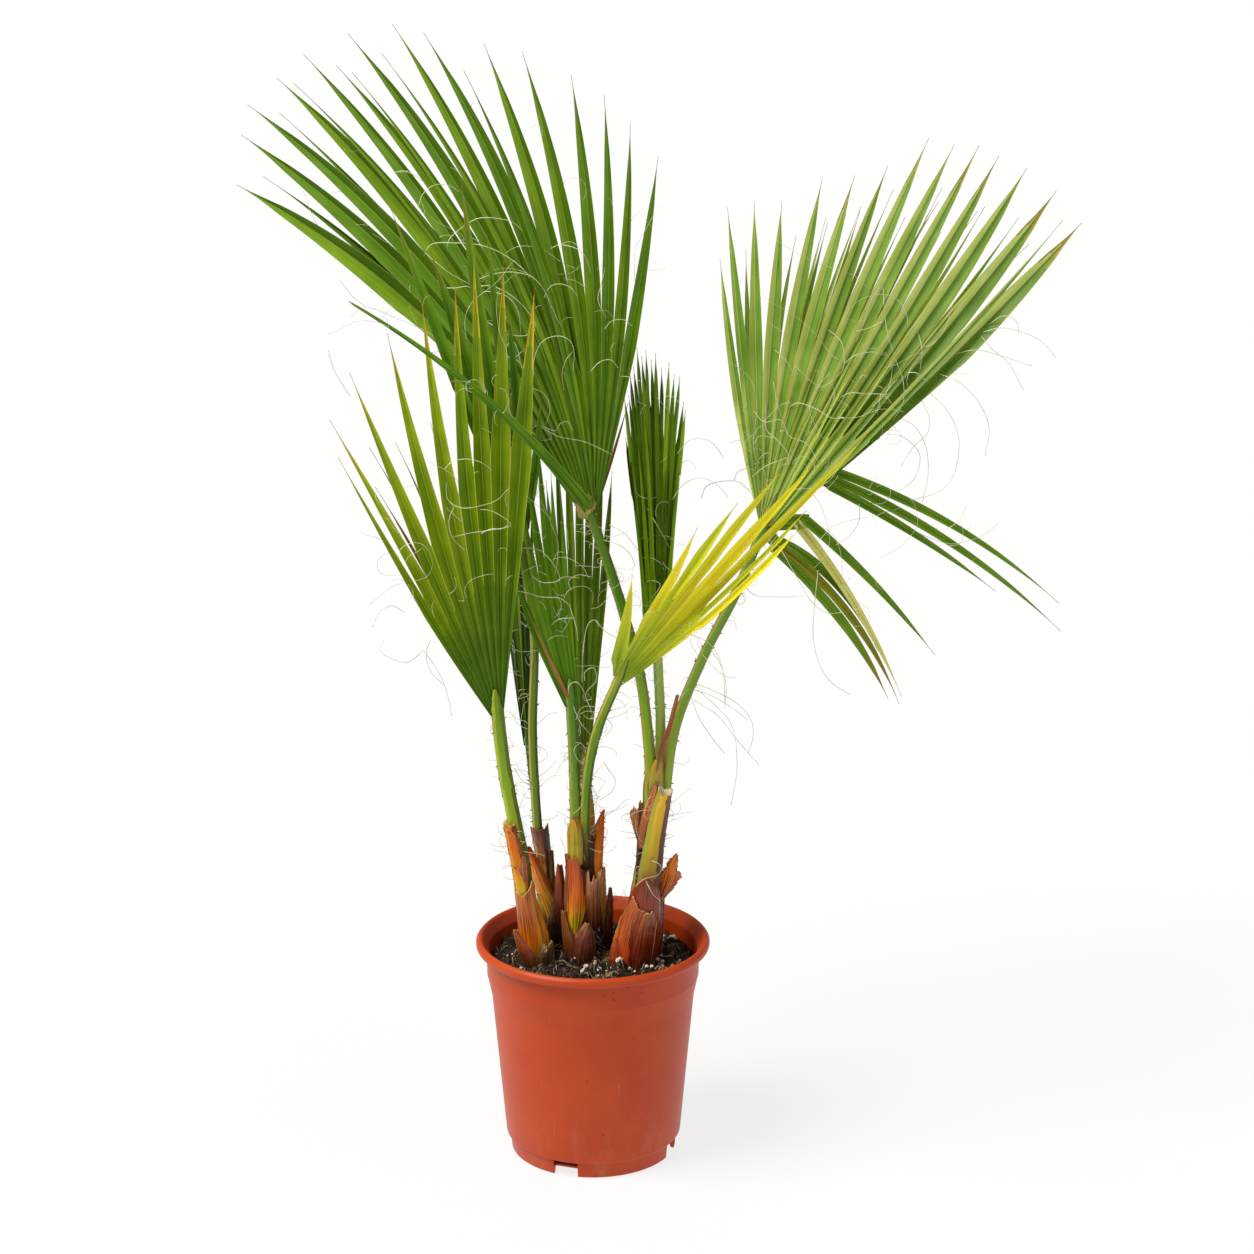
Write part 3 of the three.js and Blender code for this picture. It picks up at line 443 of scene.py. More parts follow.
leaves = {
    # Its halves: painted light on the left half of each leaflet, painted shade on the right.
    "leaf_top_left": {
        "family": "cool", "hub": (-1, -20, 680), "base": (-34, 14), "split": (0.58, 0.45), "lean": 150,
        "bow": -40, "twist": -40, "yellow": (0.96, 0.995), "full": 1.7, "halves": ((0, 2), (1,)),
        "tips": [
            (-49.5, 466), (-44.5, 495), (-41.5, 512), (-37, 513), (-33, 517), (-30.5, 491), (-27.5, 512),
            (-22.5, 502), (-19.5, 484), (-13, 458), (-8.5, 444), (-2.5, 418), (2, 399), (6, 375), (11, 347),
        ],
        "layers": [
            {
                "base": (-34, -6), "split": 0.3, "offset": 16, "swell": 0.75, "full": 1.5,
                "tips": [(-46.5, 452), (-39.3, 486), (-35.6, 500), (-29, 478), (-24.7, 482), (-16, 440)],
            },
            {
                "base": (24, 23), "split": 0.02, "root": 2, "offset": -30, "look": "dead", "full": 2,
                "widest": 2.2, "tips": [(16, 92), (21, 104)],
            },
        ],
    },
    "leaf_top_left_edge": {
        "family": "fresh", "hub": (-1, -25, 687), "base": (-33, -33), "split": 0.97, "lean": -120,
        "bow": 50, "root": 3.4, "yellow": (0.95, 0.995), "tips": [(-46.1, 308), (-46, 312)],
    },
    "leaf_front_left": {
        "family": "bright", "hub": (-94, -30, 478), "base": (-31, 5), "split": (0.42, 0.64), "lean": -22,
        "bow": 8, "root": 5.8, "yellow": (0.8, 0.98), "full": 1.0, "swell": 0.95,
        "tints": (0, 1, 0, 0, 0, 2, 2, 2, 2),
        "tips": [
            (-29.5, 304), (-27.5, 340), (-21.5, 374), (-14.5, 399), (-9, 426), (-4.5, 439), (-2, 467),
            (1.5, 456), (5.5, 432),
        ],
        "layers": [
            {
                "base": (-24, -10), "split": 0.02, "root": 1, "offset": 34, "look": "dead", "full": 3,
                "widest": 2.4, "tips": [(-26, 262), (-23.5, 300), (-18.6, 296), (-11.4, 306)],
            },
        ],
    },
    "leaf_middle": {
        "family": "fresh", "hub": (-20, -12, 482), "base": (-24, -4), "split": 0.58, "lean": -12,
        "yellow": (0.93, 0.99), "full": 1.4,
        "tips": [(-22, 156), (-17, 200), (-12.5, 238), (-9.5, 263), (-6.5, 277), (-4.5, 243), (-3, 192)],
        "layers": [
            {
                "base": (-24, -23), "split": 0.02, "root": 1, "offset": -6, "look": "dead", "full": 2,
                "widest": 0.6, "tips": [(-23, 112), (-22.5, 98)],
            },
        ],
    },
    "leaf_middle_back": {
        "family": "dark", "hub": (-10, 46, 389), "base": (-8, 6), "split": 0.58, "lean": 20,
        "bow": 20, "root": 4, "yellow": (0.95, 0.99), "tints": (1, 0, 1),
        "tips": [(-7, 304), (-4.5, 344), (-2.5, 364), (-0.5, 376), (1.5, 369), (3.5, 343), (5.5, 313)],
    },
    "leaf_narrow_left": {
        "family": "dark", "hub": (-67, 46, 421), "base": (-8, 2), "split": 0.58, "lean": 20,
        "bow": 20, "root": 3, "yellow": (0.95, 0.99), "tints": (2, 2, 0),
        "tips": [(-7.5, 187), (-5, 239), (-3.2, 280), (-1.5, 300), (0, 288), (1.2, 248)],
    },
    "leaf_back_left": {
        "family": "fresh", "hub": (-69, 8, 648), "base": (-20, 10), "split": 0.45, "lean": -30,
        "root": 4, "yellow": (0.8, 0.98),
        "tips": [(-20, 355), (-16, 305), (-8.5, 364), (-5.5, 308), (-2.5, 245), (2, 201), (8, 148)],
    },
    "leaf_right": {
        "family": "pale", "hub": (174, 50, 652), "base": (-13, 50), "split": (0.45, 0.58), "lean": 70,
        "twist": -20, "cup": 20, "yellow": (0.86, 0.985), "full": 1.9,
        # Painted light on the leaflets' left halves, mostly, and painted shade on their right halves.
        "halves": ((0, 0, 1), (1, 2, 2)),
        "tips": [
            (-10, 256), (-7, 308), (-2, 313), (3, 313), (9.5, 342), (14.5, 352), (19, 371), (23, 411),
            (26.5, 416), (29.5, 427), (32.5, 429), (36.5, 435), (41.5, 436), (47, 432),
        ],
        "layers": [
            {
                "base": (8, 48), "split": 0.3, "offset": -16, "swell": 0.85, "full": 1.6,
                "tips": [
                    (12, 300), (17.5, 322), (21.5, 350), (25, 330), (28, 372), (31.5, 335), (35, 380),
                    (40, 392), (45, 420),
                ],
            },
            {
                "base": (-6, 40), "split": 0.3, "offset": 14, "swell": 0.8, "full": 1.5,
                "tips": [(-4, 262), (6.5, 280), (12, 300), (17, 320), (28.5, 360), (34.5, 372), (44, 380)],
            },
        ],
    },
    "leaf_right_droop": {
        "family": "hanging", "tints": (0,), "hub": (237, 66, 699), "base": (110, 116, 122),
        "split": 0.02, "lean": 64, "bow": 10, "root": 7, "widest": 5.4, "swell": 0.9,
        "yellow": (0.9, 0.99), "full": 1.9,
        "tips": [(121.5, 291), (126, 311), (127.5, 230)],
        "layers": [
            {
                "hub": (172, 53, 650), "base": (42, 45, 48), "split": 0.97, "lean": 14, "root": 3,
                "bow": 0, "yellow": (0.99, 1.0), "tips": [(47, 92), (50, 94), (53, 92)],
            },
        ],
    },
    "leaf_right_hang": {
        "family": "hanging", "hub": (208, 58, 657), "base": (131, 143), "split": 0.02, "lean": 46,
        "root": 4, "yellow": (0.85, 0.98), "tints": (0, 1), "full": 1.8, "widest": 5.4, "swell": 0.95,
        "tips": [(137, 214), (150.8, 231)],
        "layers": [
            {
                "hub": (184, 58, 632), "base": (120, 127, 133), "split": 0.3, "root": 6,
                "tints": (0, 2, 0), "yellow": (0.6, 0.95), "widest": 6,
                "tips": [(139, 168), (144, 228), (145.6, 217)],
            },
            {
                "hub": (171, 55, 654), "base": (84, 96), "split": 0.97, "lean": 5, "root": 4,
                "yellow": (0.99, 1.0), "tints": (0,), "tips": [(86, 48), (95, 46)],
            },
            {
                "hub": (171, 55, 650), "base": (138, 146), "split": 0.97, "lean": 5, "root": 4,
                "yellow": (0.99, 1.0), "tints": (0,), "tips": [(138, 34), (146, 32)],
            },
        ],
    },
    "leaf_yellow": {
        "family": "yellow", "hub": (27, -48, 520), "base": (10, 26, 29, 33, 39, 44, 48, 51),
        "split": (0.46, 0.4), "freeFirst": 0.16, "lean": -60, "bow": -10, "yellow": (0.93, 0.985),
        "full": 1.6, "clear": 0.81, "widest": 6.6,
        "tips": [
            (6, 125), (23.5, 187), (30, 226), (34.2, 275), (38.4, 303), (41.8, 355), (43.3, 258), (45.2, 242),
        ],
    },
    "leaf_spear": {
        "family": "spear", "hub": (64, 18, 529), "base": (-4, 4), "split": 0.72, "lean": 10,
        "root": 10, "yellow": (0.93, 0.99), "finer": 2, "full": 2.6, "clear": 1.02, "widest": 2.6,
        "tips": [
            (-7, 261), (-5.3, 285), (-3.6, 309), (-2, 306), (-0.2, 302), (2.4, 294), (4.7, 281), (6.7, 248),
        ],
        "layers": [
            {
                "offset": 14, "tints": (1, 1, 0),
                "tips": [
                    (-8, 220), (-6, 262), (-4.5, 290), (-2.8, 300), (-1, 296), (1, 288), (3.5, 276), (6, 256),
                ],
            },
            {
                "offset": -14, "finer": 1, "split": 0.3, "swell": 0.9, "full": 1.6, "widest": 2.4,
                "tips": [(-8.5, 170), (-5, 230), (-3, 262), (0.5, 250), (3, 214), (7.5, 190)],
            },
        ],
    },
}


def finerTips(leaf, rng):
    # More leaflets within the same reach: bearings in between, each a little shorter by chance.
    tips = np.array(leaf["tips"], float)
    count = (len(tips) - 1) * leaf.get("finer", 1) + 1
    place = np.linspace(0, len(tips) - 1, count)
    finer = np.stack([np.interp(place, np.arange(len(tips)), column) for column in tips.T], axis=-1)
    between = place % 1 > 0.01
    finer[between, 1] *= rng.uniform(0.86, 0.99, between.sum())
    return finer


def fanLines(leaf):
    # Midribs and crests as [leaflet, row] points across the view, with each crest's split share.
    u = np.linspace(0, 1, fanDetail["rows"] + 1)
    tips = leaf["tips"]
    s = np.linspace(-1, 1, len(tips))
    start = np.radians(np.interp(s, np.linspace(-1, 1, len(leaf["base"])), leaf["base"]))[:, None]
    end = np.radians(tips[:, :1])
    near = 2 * u * (1 - u) * fanDetail["pull"] * tips[:, 1:]
    far = u**2 * tips[:, 1:]
    facing = math.radians(np.mean(leaf["base"]))
    rooted = s[:, None] * leaf.get("root", 6) * (1 - u)
    x = near * np.sin(start) + far * np.sin(end) + rooted * math.cos(facing)
    z = near * np.cos(start) + far * np.cos(end) - rooted * math.sin(facing)
    mids = np.stack([x, z], axis=-1)
    first = 1.5 * mids[:1] - 0.5 * mids[1:2]
    last = 1.5 * mids[-1:] - 0.5 * mids[-2:-1]
    crests = np.concatenate([first, (mids[1:] + mids[:-1]) / 2, last])
    split = np.broadcast_to(leaf["split"], 2)
    inner = np.interp(np.arange(len(tips) - 1) + 0.5, (0, max(1, len(tips) - 1)), split)
    inner[0] = leaf.get("freeFirst", inner[0])
    return u, s, mids, crests, np.concatenate([inner[:1], inner, inner[-1:]])


def fanDepth(leaf, s, u):
    # Depth away from the viewer: lean u + bow u^2 + twist s u + cup s^2 u, plus a layer's own offset.
    bend = leaf.get("lean", 0) * u + leaf.get("bow", 0) * u**2 + leaf.get("offset", 0) * u * (1 - u) * 2
    return leaf["hub"][1] + bend + (leaf.get("twist", 0) * s + leaf.get("cup", 0) * s**2) * u


def leafletEdges(leaf, u, mids, crests, splits):
    # Returns each leaflet's two edges [leaflet, row] across the view, and its mean half width.
    count = len(mids)
    along = unit(np.gradient(mids, axis=1))
    across = np.stack([along[..., 1], -along[..., 0]], axis=-1)
    edges, halves = [], []
    for side, crest, split in ((-1, crests[:-1], splits[:-1]), (1, crests[1:], splits[1:])):
        half = np.abs(((crest - mids) * across).sum(axis=-1))
        atSplit = np.array([np.interp(share, u, row) for share, row in zip(split, half)])[:, None]
        t = np.clip((u - split[:, None]) / (1 - split[:, None]), 0, 1)
        body = leaf.get("swell", lancet["swell"]) * (1 - t ** leaf.get("full", lancet["full"]))
        body = body * np.clip((1 - t) / lancet["point"], 0, 1) ** lancet["pointPower"]
        free = np.maximum(atSplit, leaf.get("widest", 0)) * body
        joined = np.zeros(count, bool)
        joined[slice(1, None) if side < 0 else slice(None, -1)] = True
        room = half * (1 - (1 - leaf.get("clear", lancet["clear"])) * np.clip(t / lancet["closes"], 0, 1))
        outermost = np.minimum(free, atSplit * body + lancet["outer"])
        free = np.where(joined[:, None], np.minimum(free, room), outermost)
        free = np.maximum(free, fanDetail["leastHalf"])
        isFree = (u > split[:, None])[..., None]
        edges.append(np.where(isFree, mids + side * across * free[..., None], crest))
        halves.append(np.where(isFree[..., 0], free, half))
    return edges, sum(halves) / 2


def leafletDepths(leaf, u, s, half, rng):
    # The fold: midrib away from the viewer, edges towards them, with a little roll and wave of its own, and
    # finer ridges in the joined part.
    count = len(s)
    share = np.abs(acrossPleat)
    fold = np.tan(np.radians(fanDetail["hubFold"] + (fanDetail["tipFold"] - fanDetail["hubFold"]) * u))
    pleat = (half * fold)[..., None]
    roll = rng.uniform(-0.4, 0.4, (count, 1, 1)) * u[:, None]
    lift = share**1.12 * (1 + roll * np.sign(acrossPleat))
    wave = rng.uniform(-2.5, 2.5, (count, 1)) * u**2 * np.sin(np.pi * (u + rng.random((count, 1))))
    joined = np.clip(1 - u / (1.25 * np.min(leaf["split"])), 0, 1)[:, None]
    ridges = 0.05 * np.sin(np.pi * share) + joined * subRidge * np.interp(share, *subRidgeShape)
    return fanDepth(leaf, s[:, None], u)[..., None] + wave[..., None] + pleat * (0.5 - lift - ridges)


def leafletLooks(leaf, u, count, rng):
    # Looks by place: a tint for each leaflet, then midrib, margins, the yellowed tip and its dried end.
    cell = (acrossPleat[1:] + acrossPleat[:-1]) / 2
    centre = len(cell) // 2
    middle = (u[1:] + u[:-1]) / 2
    tints = leaf.get("tints", rng.integers(0, 3, count))
    look = np.broadcast_to(np.resize(tints, count)[:, None, None], (count, len(middle), len(cell))).copy()
    # Painted light and shade: each half of a leaflet draws from its own tints, lighter on the left, darker on
    # the right.
    if "halves" in leaf:
        for kinds, half in zip(leaf["halves"], (slice(None, centre), slice(centre, None))):
            look[:, :, half] = rng.choice(kinds, count)[:, None, None]
    look[:, :, centre] = slots["rib"]
    free = middle > 0.7 * np.min(leaf["split"])
    look[:, free, 0] = look[:, free, -1] = slots["margin"]
    start, full = leaf["yellow"]
    spread = (middle + rng.uniform(-0.04, 0.02, (count, 1)) - start) / (full - start)
    look[(spread[..., None] > 0) & (np.abs(cell) > 1 - spread[..., None])] = slots["tip"]
    look[:, middle > fanDetail["driedFrom"]] = slots["dry"]
    if "look" in leaf:
        look[:] = slots[leaf["look"]]
    return look


def fanPlates(leaf, seed):
    # Returns the blade of one layer and its front grid.
    rng = np.random.default_rng(seed)
    leaf = {**leaf, "tips": finerTips(leaf, rng)}
    u, s, mids, crests, splits = fanLines(leaf)
    edges, half = leafletEdges(leaf, u, mids, crests, splits)
    share = np.abs(acrossPleat)[:, None]
    edge = np.where(acrossPleat[:, None] < 0, edges[0][:, :, None], edges[1][:, :, None])
    flat = mids[:, :, None] * (1 - share) + edge * share
    depth = leafletDepths(leaf, u, s, half, rng)
    thick = fanDetail["thick"] / 2 * (1 - 0.5 * u)[None, :, None]
    x = leaf["hub"][0] + flat[..., 0]
    z = leaf["hub"][2] + flat[..., 1]
    front = np.stack([x, depth - thick, z], axis=-1)
    back = np.stack([x, depth + thick, z], axis=-1)
    look = leafletLooks(leaf, u, len(s), rng)
    width = half[..., None] * acrossPleat + 60 * np.arange(len(s))[:, None, None]
    length = np.broadcast_to((u * leaf["tips"][:, 1:])[..., None], width.shape)
    return plates(front, back, look, np.stack([width, length], axis=-1) * mm), front


def makeLeaves():
    # Returns the front grid of each leaf's first layer, for the threads to start from.
    fronts = {}
    for seed, (node, leaf) in enumerate(leaves.items()):
        layers = [{**leaf, **layer} for layer in [{}] + leaf.get("layers", [])]
        blades, grids = zip(*(fanPlates(layer, seed + 20 * i) for i, layer in enumerate(layers)))
        makePiece(pieceName(node) + "Blade", blades, looksOf[leaf["family"]], [node])
        fronts[node] = grids[0]
    return fronts


def pieceName(node):
    words = node.split("_")
    return words[0] + "".join(word.capitalize() for word in words[1:])


leafFronts = makeLeaves()
print("leaves:", len(leaves))


# Graded plant materials: colours that follow the height, broken up by the streaks

def gradedLook(name, low, high, stops, rough, streak, swing, bump, husk=None):
    # The colour ramp runs from low to high (mm above the floor); noise drawn out along the height
    # pushes it up and down by the swing, so the colours run into each other as long streaks. A husk's
    # fibres follow its own map, with dark and pale ones among them, and it shines a little more.
    material = newMaterial(name)
    across, along = (1 / (length * mm) for length in streak)
    spot = addNode(material, "TexCoord").outputs["Object"]
    scale = (across, along, 1) if husk else (across, across, along)
    at = addNode(material, "UVMap", {"uv_map": "surfaceMap"}).outputs["UV"] if husk else spot
    fibres = streaks(material, at, scale, 4.0, 0.65)
    axes = addNode(material, "SeparateXYZ", links={"Vector": spot})
    reach = {"From Min": low * mm, "From Max": high * mm}
    rise = addNode(material, "MapRange", None, reach, {"Value": axes.outputs["Z"]})
    pushed = addNode(material, "Math", {"operation": "MULTIPLY_ADD"}, {1: swing}, {0: fibres, 2: rise})
    level = addNode(material, "Math", {"operation": "SUBTRACT"}, {1: swing / 2}, {0: pushed})
    colour = addNode(material, "ValToRGB", links={"Fac": level}, stops=stops).outputs["Color"]
    for kind in husk or []:
        noise = streaks(material, at, kind["scale"], 3.0, 0.6, kind["shift"])
        mask = addNode(material, "ValToRGB", links={"Fac": noise}, stops=kind["mask"])
        under = {"Factor": mask, "A": colour}
        colour = addNode(material, "Mix", inColour, {"B": linear(kind["colour"])}, under).outputs["Result"]
    values = {"Roughness": rough, "IOR": plantIor, "Specular IOR Level": huskGleam if husk else waxyGleam}
    return finishMaterial(material, values, {"Base Color": colour}, (bump, 0.9 if husk else 0.6, fibres))


# Pot: injection-moulded polypropylene in a terracotta colour, with a soft sheen, dust and scuffs

potShape = {
    "height": 231, "rimRadius": 120, "lipHeight": 10, "lipInner": 112.6, "collar": 108.8, "collarBottom": 192,
    "coneBottom": 170, "cone": 104, "footHeight": 18, "footTop": 90.4, "foot": 85.2, "wall": 2.6, "floor": 3,
    "disc": 60, "ringFloor": 6, "segments": 200, "cornerShare": 0.42, "cornerRadius": 1.5,
}
notch = {"width": 26, "height": 16, "inner": 77, "outer": 97, "first": -109, "count": 4}
drainHole = {"radius": 5, "at": 71, "sides": 24, "from": -4, "to": 14}


def polypropylene():
    # Moulded plastic: even colour and a soft gloss that varies a little, with dust, scratches and specks.
    material = newMaterial("terracottaPolypropylene")
    spot = addNode(material, "TexCoord").outputs["Object"]
    at = {"Vector": spot}
    cloud = addNode(material, "TexNoise", None, {"Scale": 1 / (60 * mm), "Detail": 5.0}, at)
    tints = {0.3: "#b0380a", 0.7: "#bc440e"}
    colour = addNode(material, "ValToRGB", links={"Fac": cloud}, stops=tints).outputs["Color"]
    # Dust: faint and pale, thickest near the foot, in upright smears 22 mm wide.
    axes = addNode(material, "SeparateXYZ", links=at)
    reach = {"From Min": 0.0, "From Max": 90 * mm, "To Min": 0.5, "To Max": 0.0}
    low = addNode(material, "MapRange", None, reach, {"Value": axes.outputs["Z"]})
    dust = streaks(material, spot, np.array((1, 1, 0.35)) / (22 * mm), 6.0, 0.7)
    dusty = addNode(material, "ValToRGB", links={"Fac": dust}, stops={0.5: "#000000", 0.72: "#ffffff"})
    faint = addNode(material, "Math", {"operation": "MULTIPLY"}, links={0: dusty, 1: low})
    layers = [(faint, "#b8704e")]
    # Scratches: thin lines where a stretched, slanted noise peaks. Specks: grains of dried soil.
    turned = {"Rotation": (0.4, 0.7, 0.3), "Scale": (1, 1, 0.09)}
    slant = {"Vector": addNode(material, "Mapping", None, turned, at)}
    scratches = {"Scale": 1 / (4 * mm), "Detail": 1.0, "Distortion": 0.6}
    specks = {"Scale": 1 / (5 * mm), "Detail": 2.0, "Roughness": 0.4}
    for values, links, stops, over in (
        (scratches, slant, {0.76: "#000000", 0.79: "#8c8c8c"}, "#c07a5a"),
        (specks, at, {0.735: "#000000", 0.76: "#d0d0d0"}, "#5e2415"),
    ):
        noise = addNode(material, "TexNoise", None, values, links)
        layers.append((addNode(material, "ValToRGB", links={"Fac": noise}, stops=stops), over))
    for mask, over in layers:
        under = {"Factor": mask, "A": colour}
        colour = addNode(material, "Mix", inColour, {"B": linear(over)}, under).outputs["Result"]
    gloss = addNode(material, "MapRange", None, {"To Min": 0.36, "To Max": 0.52}, {"Value": cloud})
    values = {"IOR": 1.49, "Specular IOR Level": 0.3}
    return finishMaterial(material, values, {"Base Color": colour, "Roughness": gloss}, (0.12, 0.3, dust))


def roundedProfile(corners, share, radius, steps=4):
    # Each inner corner becomes a short quadratic curve between points a little way along its two edges.
    corners = np.asarray(corners, float)
    before = corners[:-2] - corners[1:-1]
    after = corners[2:] - corners[1:-1]
    reachBefore = np.minimum(np.linalg.norm(before, axis=1) * share, radius)[:, None]
    reachAfter = np.minimum(np.linalg.norm(after, axis=1) * share, radius)[:, None]
    start = corners[1:-1] + unit(before) * reachBefore
    end = corners[1:-1] + unit(after) * reachAfter
    t = np.linspace(0, 1, steps)[None, :, None]
    curves = (1 - t) ** 2 * start[:, None] + 2 * t * (1 - t) * corners[1:-1][:, None] + t**2 * end[:, None]
    return np.vstack([corners[:1], curves.reshape(-1, 2), corners[-1:]])


def turned(profile, segments):
    # Radius and height turned about the Z axis; the poles are merged afterwards.
    turn = 2 * np.pi * np.arange(segments) / segments
    radius, height = np.asarray(profile, float).T
    x = radius[:, None] * np.cos(turn)
    y = radius[:, None] * np.sin(turn)
    points = np.stack([x, y, np.broadcast_to(height[:, None], x.shape)], axis=-1)
    return part(points, ringFaces(len(points), segments))


def cutFrom(piece, cutter):
    # An exact Boolean difference, applied, with the cutter then removed.
    cut = piece.modifiers.new("cut", "BOOLEAN")
    cut.object = cutter
    cut.solver = "EXACT"
    evaluated = piece.evaluated_get(bpy.context.evaluated_depsgraph_get())
    piece.data = bpy.data.meshes.new_from_object(evaluated)
    piece.modifiers.clear()
    bpy.data.objects.remove(cutter)


def makePot():
    # The profile goes up the outside from the foot, over the lip and down the inside. The bare offsets are
    # the steps' and the lip's own small roundings, half a millimetre to three.
    p = potShape
    lipBottom = p["height"] - p["lipHeight"]
    inside = p["collar"] + 0.6 - p["wall"]
    corners = [
        (0, 0), (p["disc"], 0), (p["disc"] + 2, p["ringFloor"]), (p["foot"] - p["wall"] - 3, p["ringFloor"]),
        (p["foot"] - p["wall"] - 1, 0), (p["foot"], 0), (p["foot"] + 1.4, p["footHeight"] - 1.5),
        (p["footTop"], p["footHeight"]), (p["cone"], p["coneBottom"]),
        (p["collar"] - 0.6, p["collarBottom"] - 1.5), (p["collar"], p["collarBottom"]),
        (p["collar"] + 0.6, lipBottom), (p["rimRadius"] - 1.6, lipBottom), (p["rimRadius"], lipBottom + 2.6),
        (p["rimRadius"], p["height"] - 3.4), (p["rimRadius"] - 3, p["height"]),
        (p["lipInner"] + 2, p["height"]), (p["lipInner"], p["height"] - 2.4), (inside, lipBottom - 2),
        (p["collar"] - p["wall"], p["collarBottom"]), (p["cone"] - p["wall"], p["coneBottom"]),
        (p["foot"] + 1.2 - p["wall"], p["ringFloor"] + p["floor"]),
        (p["disc"] - 0.5, p["ringFloor"] + p["floor"]), (p["disc"] - 2.5, p["floor"]), (0, p["floor"]),
    ]
    profile = roundedProfile(corners, p["cornerShare"], p["cornerRadius"])
    body = turned(profile, p["segments"])
    pot = makePiece("nurseryPot", [body], [polypropylene()], ["pot"], merged=True)
    # The cutter: a box across the foot for each notch, and halfway to the next notch a drain hole's bore.
    box = np.array([(x, y, z) for z in (-1, 1) for y in (-1, 1) for x in (0, 1)], float)
    box = box * (notch["outer"] - notch["inner"], notch["width"] / 2, notch["height"])
    box[:, 0] += notch["inner"]
    faces = [(0, 2, 3, 1), (4, 5, 7, 6), (0, 1, 5, 4), (2, 6, 7, 3), (0, 4, 6, 2), (1, 3, 7, 5)]
    low, high, radius = drainHole["from"], drainHole["to"], drainHole["radius"]
    bore = turned([(0, low), (radius, low), (radius, high), (0, high)], drainHole["sides"])
    cuts = []
    for i in range(notch["count"]):
        turn = math.radians(notch["first"] + i * 360 / notch["count"])
        cos, sin = math.cos(turn), math.sin(turn)
        cuts.append(part(box @ np.array([(cos, sin, 0), (-sin, cos, 0), (0, 0, 1)]), faces))
        turn += math.pi / notch["count"]
        centre = np.array([math.cos(turn), math.sin(turn), 0]) * drainHole["at"]
        cuts.append(part(bore["points"] + centre, bore["faces"]))
    cutFrom(pot, makePiece("potCutter", cuts, [], merged=True))


makePot()
print("pot: turned, notched and drilled")


# Soil: peat with bark chips, pale perlite and loose fibres

soilShape = {"level": 205, "radius": 105.4, "drop": 4, "flat": 96, "depth": 30, "rings": 70, "spokes": 220}
crumbs = {"widest": 34, "finest": 3.2, "waves": 26, "height": 0.24, "seed": 10}
litterReach = 100
# A chip's width and thickness are shares of its length, and shares is how common each kind of chip is.
litter = {
    "chips": 1500, "length": (2.5, 9), "width": (0.15, 0.5), "thickness": (0.1, 0.3), "tilt": 35,
    "shares": (0.62, 0.22, 0.16), "seed": 11,
}
# A group of perlite is its middle's x and y, its spread and its number of grains.
perlite = {
    "groups": [
        (9, -33, 10, 12), (-8, -42, 7, 5), (26, -28, 8, 6), (80, 46, 13, 16), (69, -14, 10, 6),
        (-38, 52, 8, 4),
    ],
    "large": (1.6, 2.8), "loose": 70, "size": (0.8, 2.2), "seed": 12,
}
# Fibres start within one radius of the middle, starts, and stay within another, reach. Bend is the most
# that one turns, in radians, and hump the most that it stands up.
fibres = {
    "count": 560, "starts": 92, "length": (6, 28), "bend": 2.4, "hump": 5, "steps": 9, "radius": 0.36,
    "reach": 102, "seed": 13,
}


def soilHeight(x, y):
    # Crumbs: a sum of sine waves in seeded directions, from lumps 34 mm apart down to grains of 3.2 mm.
    # Towards the pot's wall the soil drops a little.
    rng = np.random.default_rng(crumbs["seed"])
    total = np.zeros_like(x)
    for wave in np.geomspace(crumbs["widest"], crumbs["finest"], crumbs["waves"]):
        turn, phase = rng.uniform(0, 2 * np.pi, 2)
        total += wave**0.55 * np.sin(2 * np.pi * (x * np.cos(turn) + y * np.sin(turn)) / wave + phase)
    radius = np.hypot(x, y)
    edge = np.clip((radius - soilShape["flat"]) / (soilShape["radius"] - soilShape["flat"]), 0, 1)
    return soilShape["level"] + crumbs["height"] * total - soilShape["drop"] * edge


def scattered(rng, count, reach=litterReach):
    # Places spread evenly over a disc.
    radius = reach * np.sqrt(rng.random(count))
    turn = rng.uniform(0, 2 * np.pi, count)
    return radius * np.cos(turn), radius * np.sin(turn)


def turnsOf(rng, count, tilt):
    # Random turning matrices [count, 3, 3]: any heading, tipped by up to tilt degrees.
    a, b, c = rng.uniform(0, 2 * np.pi, count), *(np.radians(rng.uniform(-tilt, tilt, (2, count))))
    zero, one = np.zeros(count), np.ones(count)
    spin = np.array([(np.cos(a), -np.sin(a), zero), (np.sin(a), np.cos(a), zero), (zero, zero, one)])
    tip = np.array([(one, zero, zero), (zero, np.cos(b), -np.sin(b)), (zero, np.sin(b), np.cos(b))])
    roll = np.array([(np.cos(c), zero, np.sin(c)), (zero, one, zero), (-np.sin(c), zero, np.cos(c))])
    return np.einsum("ijn,jkn,kln->nil", spin, tip, roll)


